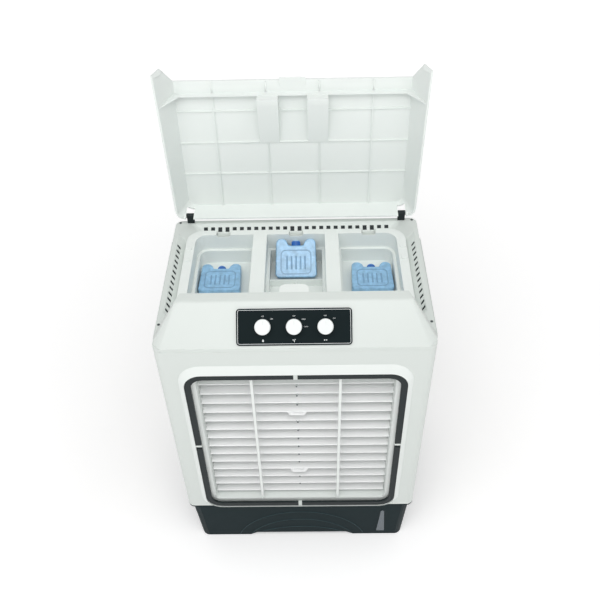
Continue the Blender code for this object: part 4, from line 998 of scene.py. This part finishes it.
# The tray: the rib in front of its cross wall, its finger notches with the height and reach of their cut, and
# the raised tabs on its side rims.
CROSS_WALL = 0.315
TRAY_WALL = 0.003
RIB_TALL = 0.020
RIB_LONG = 0.030
RIB_HALF = 0.0012
NOTCHES = (-0.197, 0.0, 0.197)
NOTCH_HALF = 0.019
NOTCH_DEEP = 0.0075
NOTCH_LONG = 0.0215
NOTCH_OVER = 0.020
NOTCH_PAST = 0.004
NOTCH_ROUND = 0.006
TAB_PLACES = (0.128, 0.082)
TAB_HALF = 0.006
TAB_IN = 0.001
TAB_WIDE = 0.017
TAB_RISE = 0.0035
TAB_SINK = 0.0005
TAB_ROUND = 0.002


class COOLER_OT_tray(bpy.types.Operator):
    """Build the ice tray"""
    bl_idname = "cooler.tray"
    bl_label = "Ice tray"

    def execute(self, context):
        low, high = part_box("ice_tray")
        tray = solid_of("ice_tray")
        round_edges(tray, 0.0012, shortest=0.004)
        notches = bmesh.new()
        for x in NOTCHES:
            outline = corner_points(x - NOTCH_HALF, x + NOTCH_HALF, high.z - NOTCH_DEEP, high.z + NOTCH_OVER,
                                    NOTCH_ROUND, NOTCH_ROUND / 3)
            points = [(u, high.y - NOTCH_LONG, v) for u, v in outline]
            prism(notches, points, (0, NOTCH_LONG + NOTCH_PAST, 0))
        # The whiter ABS on the tray is painted light in its shaded pockets.
        finish("ice_tray_moulding", carve(tray, notches), "housing", lit_white_abs(), ["ice_tray"])
        bm = bmesh.new()
        wall = FRONT + CROSS_WALL
        floor = low.z + TRAY_WALL
        rib = [(wall, floor), (wall, floor + RIB_TALL), (wall - RIB_LONG, floor)]
        prism(bm, [(-RIB_HALF, y, z) for y, z in rib], (RIB_HALF * 2, 0, 0), 0.0004)
        for side in (-1, 1):
            for y in TAB_PLACES:
                x0, x1 = sorted((side * (high.x - TAB_IN), side * (high.x - TAB_IN - TAB_WIDE)))
                outline = corner_points(x0, x1, y - TAB_HALF, y + TAB_HALF, TAB_ROUND, TAB_ROUND, 3)
                prism(bm, [(x, v, high.z - TAB_SINK) for x, v in outline], (0, 0, TAB_RISE), FINE)
        finish("ice_tray_ribs", bm, "housing", lit_white_abs())
        return {"FINISHED"}


# The ice packs: their thickness, the upright ridges on them with the frame round these, and their caps. The
# frame's foot and head are heights above the pack's foot, and its section is pairs of inset and rise.
PACK_THICK = 0.028
PACK_RIDGES = 5
PACK_RIDGE_PITCH = 0.012
PACK_RIDGE_ENDS = (0.022, 0.040, 0.058)
PACK_RIDGE_BEAD = 0.0022
PACK_RIDGE_SINK = 0.0006
FRAME_HALF = 0.040
FRAME_FOOT = 0.010
FRAME_HEAD = 0.074
FRAME_CORNER = 0.012
FRAME_SECTION = ((-0.0022, -0.001), (-0.0010, 0.0009), (0.0010, 0.0009), (0.0022, -0.001))
CAP_RADIUS = 0.0114
CAP_TALL = 0.0125
CAP_Y = 0.0868
CAP_RIBS = 30
CAP_RIB = 0.0006
CAP_RIB_ENDS = (0.0012, CAP_TALL - 0.002)


class COOLER_OT_packs(bpy.types.Operator):
    """Build the ice packs"""
    bl_idname = "cooler.packs"
    bl_label = "Ice packs"

    def execute(self, context):
        for place in ("left", "centre", "right"):
            node = f"ice_pack_{place}"
            dress(node, HEAVY, 3, 0.003)
            turn = self.frame_of(node)
            self.ridges(node, turn)
            self.cap(node, turn)
        return {"FINISHED"}

    def frame_of(self, node):
        """A matrix for a pack: origin at the middle of its foot edge on its face, Y towards the cap."""
        mesh = NODES[node].data
        broad = {}
        for face in mesh.polygons:
            key = face.normal.to_tuple(2)
            broad[key] = broad.get(key, 0.0) + face.area
        out = Vector(max((key for key in broad if key[2] > 0.3), key=broad.get)).normalized()
        along = Vector((0, out.z, -out.y))
        low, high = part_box(node)
        points = [vert.co for vert in mesh.vertices]
        foot = along * min(point.dot(along) for point in points)
        foot += out * max(point.dot(out) for point in points)
        turn = Matrix((Vector((1, 0, 0)), along, out)).transposed().to_4x4()
        return Matrix.Translation(foot + Vector(((low.x + high.x) / 2, 0, 0))) @ turn

    def ridges(self, node, turn):
        """Plain upright ridges and a frame moulded on the pack's face."""
        bm = bmesh.new()
        for i in range(PACK_RIDGES):
            x = PACK_RIDGE_PITCH * (i - (PACK_RIDGES - 1) / 2)
            points = [turn @ Vector((x, y, -PACK_RIDGE_SINK)) for y in PACK_RIDGE_ENDS]
            tube(bm, points, PACK_RIDGE_BEAD, 10)
        rings = []
        for inset, rise in FRAME_SECTION:
            half, corner = FRAME_HALF - inset, FRAME_CORNER - inset
            outline = corner_points(-half, half, FRAME_FOOT + inset, FRAME_HEAD - inset, corner, corner, 5)
            rings.append([turn @ Vector((x, y, rise)) for x, y in outline])
        band(bm, rings)
        finish(f"{node}_ridges", bm, "housing", ridge_plastic())

    def cap(self, node, turn):
        """The round filler cap between the pack's ears, with grip ribs."""
        bm = bmesh.new()
        place = turn @ Matrix.Translation((0, CAP_Y, -PACK_THICK / 2))
        place = place @ Matrix.Rotation(math.radians(-90), 4, "X")
        plug(bm, CAP_RADIUS, CAP_TALL, 32, place, 0.0014, 3)
        for i in range(CAP_RIBS):
            angle = 2 * math.pi * i / CAP_RIBS
            side = Vector((math.cos(angle), math.sin(angle), 0)) * CAP_RADIUS
            tube(bm, [place @ (side + Vector((0, 0, z))) for z in CAP_RIB_ENDS], CAP_RIB, 6)
        finish(f"{node}_cap", bm, "housing", cap_plastic())


# The lid when closed: its front edge, height and wall, the place of its shelf, the finger pad at its front,
# which stands above the shoulder, and the thin wings at the shelf's ends.
LID_FRONT = 0.1085
LID_TALL = 0.084
LID_WALL = 0.0035
SHELF_PLACE = 0.1415
SCOOP_HALF = 0.034
SCOOP_LONG = 0.029
SCOOP_ROUND = 0.022
SCOOP_LIP = 0.0055
SCOOP_LOW = 0.0787
SCOOP_TALL = 0.0045
WING_TOP = 0.2975
WING_FOOT = 0.3240
WING_DEEP = 0.018
WING_TIP = 0.004
WING_LOW = 0.006
WING_THICK = 0.003


def lid_open():
    """The turn that carries the closed lid to its open place."""
    place = Matrix.Translation(joint_of("lid_hinge")["pos_m"])
    return place @ Matrix.Rotation(math.radians(-90), 4, "X") @ place.inverted()


class COOLER_OT_lid(bpy.types.Operator):
    """Build the ribbed lid and its hinges"""
    bl_idname = "cooler.lid"
    bl_label = "Lid"

    def execute(self, context):
        dress("lid", FINE, shortest=0.01)
        for side in ("left", "right"):
            dress(f"lid_hinge_{side}", FINE, material=trim_abs())
        bm = bmesh.new()
        front = FRONT + LID_FRONT
        ceiling = SHOULDER + LID_TALL - LID_WALL
        outline = corner_points(-SCOOP_HALF, SCOOP_HALF, front - SCOOP_LIP, front + SCOOP_LONG,
                                SCOOP_LIP, SCOOP_ROUND)
        prism(bm, [(x, y, SHOULDER + SCOOP_LOW) for x, y in outline], (0, 0, SCOOP_TALL), HEAVY, 3)
        shelf = FRONT + SHELF_PLACE - WING_THICK / 2
        root, foot = WING_TOP - WING_DEEP, SHOULDER + WING_LOW
        wing = [(WING_TOP, ceiling), (root, ceiling), (root, ceiling - WING_DEEP),
                (WING_FOOT - WING_TIP, foot), (WING_FOOT, foot)]
        for side in (-1, 1):
            prism(bm, [(side * x, shelf, z) for x, z in wing], (0, WING_THICK, 0), THIN)
        bmesh.ops.transform(bm, matrix=lid_open(), verts=bm.verts)
        bmesh.ops.recalc_face_normals(bm, faces=bm.faces)
        # The whiter ABS on the lid's pad and wings is painted light.
        finish("lid_ribs", bm, "lid", lit_white_abs())
        return {"FINISHED"}


# The camera stands above and in front of the cooler and looks down at it.
CAMERA_PLACE = (0.0424, -1.3754, 2.1367)
CAMERA_PITCH = 43.995
CAMERA_YAW = -1.330
CAMERA_ROLL = -1.650
CAMERA_LENS = 44.2
SENSOR = 36.0

# Distances from the middle between which the floor's glow grows.
GLOW_NEAR = 0.7
GLOW_FAR = 4.0

# Name, side and place of each area light, and the point that they all face.
LAMPS = (("key", 2.4, (-0.8, -1.8, 3.3)), ("fill", 2.0, (1.2, -1.2, 3.3)), ("top", 0.9, (0.0, -1.0, 2.6)))
LAMP_AIM = Vector((0.0, 0.0, 0.6))
WHITE = (1.0, 1.0, 1.0, 1.0)


class COOLER_OT_stage(bpy.types.Operator):
    """Set up the camera, the lights and the floor"""
    bl_idname = "cooler.stage"
    bl_label = "Stage"

    def execute(self, context):
        scene = context.scene
        lights = scene.cooler_lights
        pitch, yaw, roll = (math.radians(v) for v in (CAMERA_PITCH, CAMERA_YAW, CAMERA_ROLL))
        ahead = Vector((math.sin(yaw) * math.cos(pitch), math.cos(yaw) * math.cos(pitch), -math.sin(pitch)))
        right = Vector((math.cos(yaw), -math.sin(yaw), 0.0))
        up = right.cross(ahead)
        tilted = math.cos(roll) * right + math.sin(roll) * up
        tilted_up = -math.sin(roll) * right + math.cos(roll) * up
        turn = Matrix((tilted, tilted_up, -ahead)).transposed().to_4x4()
        view = bpy.data.cameras.new("view")
        view.lens = CAMERA_LENS
        view.sensor_width = SENSOR
        camera = bpy.data.objects.new("view", view)
        camera.matrix_world = Matrix.Translation(CAMERA_PLACE) @ turn
        scene.collection.objects.link(camera)
        scene.camera = camera

        bm = bmesh.new()
        bmesh.ops.create_grid(bm, x_segments=1, y_segments=1, size=sizes().floor / 2)
        mesh = bpy.data.meshes.new("floor")
        bm.to_mesh(mesh)
        bm.free()
        # A back-lit studio floor: matt and white.
        paint = moulded("painted floor, matt", colours().floor, 0.8, mottle=0.004, patch=0.5)
        glow = paint.node_tree.nodes["Principled BSDF"]
        glow.inputs["Emission Color"].default_value = WHITE
        tree = paint.node_tree
        place = add_node(tree, "ShaderNodeTexCoord").outputs["Object"]
        away = add_node(tree, "ShaderNodeVectorMath", None, {0: place}, operation="LENGTH")
        levels = {"From Min": GLOW_NEAR, "From Max": GLOW_FAR, "To Min": lights.floor,
                  "To Max": lights.floor + lights.floor_far}
        rise = add_node(tree, "ShaderNodeMapRange", levels, {"Value": away.outputs["Value"]})
        tree.links.new(rise.outputs["Result"], glow.inputs["Emission Strength"])
        mesh.materials.append(paint)
        floor = bpy.data.objects.new("floor", mesh)
        scene.collection.objects.link(floor)

        scene.view_settings.view_transform = "Standard"
        world = bpy.data.worlds.new("studio")
        scene.world = world
        world.use_nodes = True
        sky = world.node_tree.nodes["Background"]
        sky.inputs["Color"].default_value = WHITE
        sky.inputs["Strength"].default_value = lights.sky
        for name, size, place in LAMPS:
            lamp = bpy.data.lights.new(name, "AREA")
            lamp.energy = getattr(lights, name)
            lamp.size = size
            light = bpy.data.objects.new(name, lamp)
            light.location = place
            aim = LAMP_AIM - Vector(place)
            light.rotation_euler = aim.to_track_quat("-Z", "Y").to_euler()
            scene.collection.objects.link(light)
        return {"FINISHED"}


PIECES = (COOLER_OT_tank, COOLER_OT_cabinet, COOLER_OT_grille, COOLER_OT_fan, COOLER_OT_pads, COOLER_OT_water,
          COOLER_OT_deck, COOLER_OT_console, COOLER_OT_knobs, COOLER_OT_tray, COOLER_OT_packs, COOLER_OT_lid,
          COOLER_OT_stage)


class COOLER_PT_pieces(bpy.types.Panel):
    """Lists the cooler's pieces"""
    bl_idname = "COOLER_PT_pieces"
    bl_label = "Evaporative cooler"
    bl_space_type = "VIEW_3D"
    bl_region_type = "UI"
    bl_category = "Cooler"

    def draw(self, context):
        for piece in PIECES:
            self.layout.operator(piece.bl_idname)
        for group in (context.scene.cooler_sizes, context.scene.cooler_colours, context.scene.cooler_lights):
            for name in group.bl_rna.properties.keys():
                if name not in ("rna_type", "name"):
                    self.layout.prop(group, name)


CLASSES = (CoolerSizes, CoolerColours, CoolerLights, *PIECES, COOLER_PT_pieces)


def register():
    for cls in CLASSES:
        bpy.utils.register_class(cls)
    bpy.types.Scene.cooler_sizes = PointerProperty(type=CoolerSizes)
    bpy.types.Scene.cooler_colours = PointerProperty(type=CoolerColours)
    bpy.types.Scene.cooler_lights = PointerProperty(type=CoolerLights)


def unregister():
    del bpy.types.Scene.cooler_lights
    del bpy.types.Scene.cooler_colours
    del bpy.types.Scene.cooler_sizes
    for cls in reversed(CLASSES):
        bpy.utils.unregister_class(cls)


def main():
    register()
    for piece in PIECES:
        group, call = piece.bl_idname.split(".")
        getattr(getattr(bpy.ops, group), call)()


if __name__ == "__main__":
    main()
